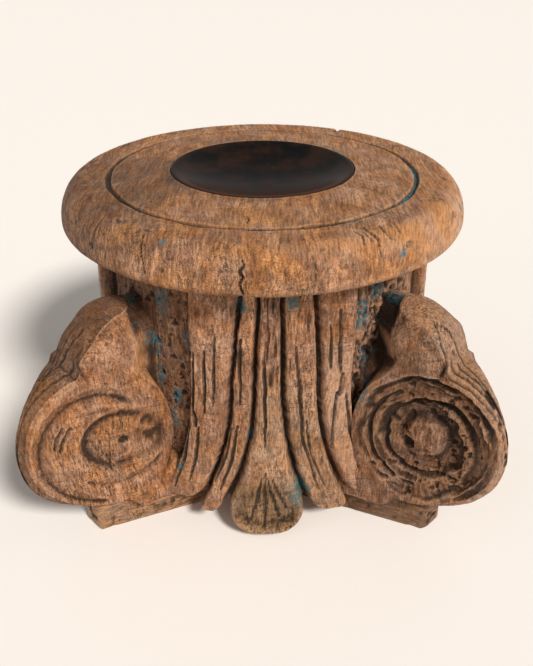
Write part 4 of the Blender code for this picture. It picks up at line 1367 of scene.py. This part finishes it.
def build_stage(context):
    scene = context.scene
    look = scene.base_studio
    mesh = bpy.data.meshes.new("floor")
    mesh.from_pydata([(-9, -9, 0), (9, -9, 0), (9, 9, 0), (-9, 9, 0)], [], [(0, 1, 2, 3)])
    floor = bpy.data.objects.new("floor", mesh)
    material = bpy.data.materials.new("pale floor")
    material.use_nodes = True
    shader = material.node_tree.nodes["Principled BSDF"]
    shader.inputs["Base Color"].default_value = rgba(look.floor)
    shader.inputs["Roughness"].default_value = 0.9
    shader.inputs["Specular IOR Level"].default_value = 0.1
    mesh.materials.append(material)
    scene.collection.objects.link(floor)
    world = bpy.data.worlds.new("soft room")
    world.use_nodes = True
    world.node_tree.nodes["Background"].inputs[0].default_value = (1.0, 0.985, 0.965, 1.0)
    world.node_tree.nodes["Background"].inputs[1].default_value = look.sky
    scene.world = world
    soft_sun("key", 36.0, 43.0, look.key, 12.0, (1.0, 0.97, 0.93))
    soft_sun("fill", -50.0, 28.0, look.fill, 30.0, (1.0, 0.98, 0.96))
    lens = bpy.data.cameras.new("photo camera")
    lens.lens = look.lens
    lens.sensor_width = 36.0
    lens.clip_start = 0.01
    camera = bpy.data.objects.new("photo camera", lens)
    camera.location = CAMERA_PLACE
    camera.rotation_euler = (radians(CAMERA_TILT), 0.0, 0.0)
    scene.collection.objects.link(camera)
    scene.camera = camera
    scene.view_settings.view_transform = "Standard"


# Operators, panel and registration


class BASE_OT_stage(bpy.types.Operator):
    """Adds the floor, the lights, the sky and the camera."""

    bl_idname = "carved_base.stage"
    bl_label = "Stage and camera"

    def execute(self, context):
        build_stage(context)
        return {"FINISHED"}


class BASE_OT_disc(bpy.types.Operator):
    """Builds the turned disc with its ring groove, cracks and chips."""

    bl_idname = "carved_base.disc"
    bl_label = "Turned disc"

    def execute(self, context):
        build_disc(context)
        return {"FINISHED"}


class BASE_OT_bell(bpy.types.Operator):
    """Builds the bell with its leaves and its worn ground."""

    bl_idname = "carved_base.bell"
    bl_label = "Leafy bell"

    def execute(self, context):
        build_bell(context)
        return {"FINISHED"}


class BASE_OT_horns(bpy.types.Operator):
    """Builds the four corner horns with their scrolls."""

    bl_idname = "carved_base.horns"
    bl_label = "Corner horns"

    def execute(self, context):
        build_horns(context)
        return {"FINISHED"}


class BASE_OT_plate(bpy.types.Operator):
    """Builds the star-shaped foot plate."""

    bl_idname = "carved_base.plate"
    bl_label = "Foot plate"

    def execute(self, context):
        build_plate(context)
        return {"FINISHED"}


class BASE_OT_dish(bpy.types.Operator):
    """Builds the dark metal dish."""

    bl_idname = "carved_base.dish"
    bl_label = "Metal dish"

    def execute(self, context):
        build_dish(context)
        return {"FINISHED"}


OPERATORS = (BASE_OT_stage, BASE_OT_disc, BASE_OT_bell, BASE_OT_horns, BASE_OT_plate, BASE_OT_dish)
GROUPS = {
    "base_disc": DiscSizes,
    "base_bell": BellSizes,
    "base_horn": HornSizes,
    "base_plate": PlateSizes,
    "base_dish": DishSizes,
    "base_wood": WoodLook,
    "base_studio": StudioLook,
}


class BASE_PT_panel(bpy.types.Panel):
    """Lists the sizes, the colours and the building steps."""

    bl_idname = "BASE_PT_panel"
    bl_label = "Column base"
    bl_space_type = "VIEW_3D"
    bl_region_type = "UI"
    bl_category = "Column base"

    def draw(self, context):
        for operator in OPERATORS:
            self.layout.operator(operator.bl_idname)
        for name, group in GROUPS.items():
            box = self.layout.box()
            for field in group.__annotations__:
                box.prop(getattr(context.scene, name), field)


CLASSES = tuple(GROUPS.values()) + OPERATORS + (BASE_PT_panel,)


def register():
    for item in CLASSES:
        bpy.utils.register_class(item)
    for name, group in GROUPS.items():
        setattr(bpy.types.Scene, name, PointerProperty(type=group))


def unregister():
    for name in GROUPS:
        delattr(bpy.types.Scene, name)
    for item in reversed(CLASSES):
        bpy.utils.unregister_class(item)


def main():
    register()
    bpy.ops.carved_base.stage()
    bpy.ops.carved_base.disc()
    bpy.ops.carved_base.bell()
    bpy.ops.carved_base.horns()
    bpy.ops.carved_base.plate()
    bpy.ops.carved_base.dish()


if __name__ == "__main__":
    main()
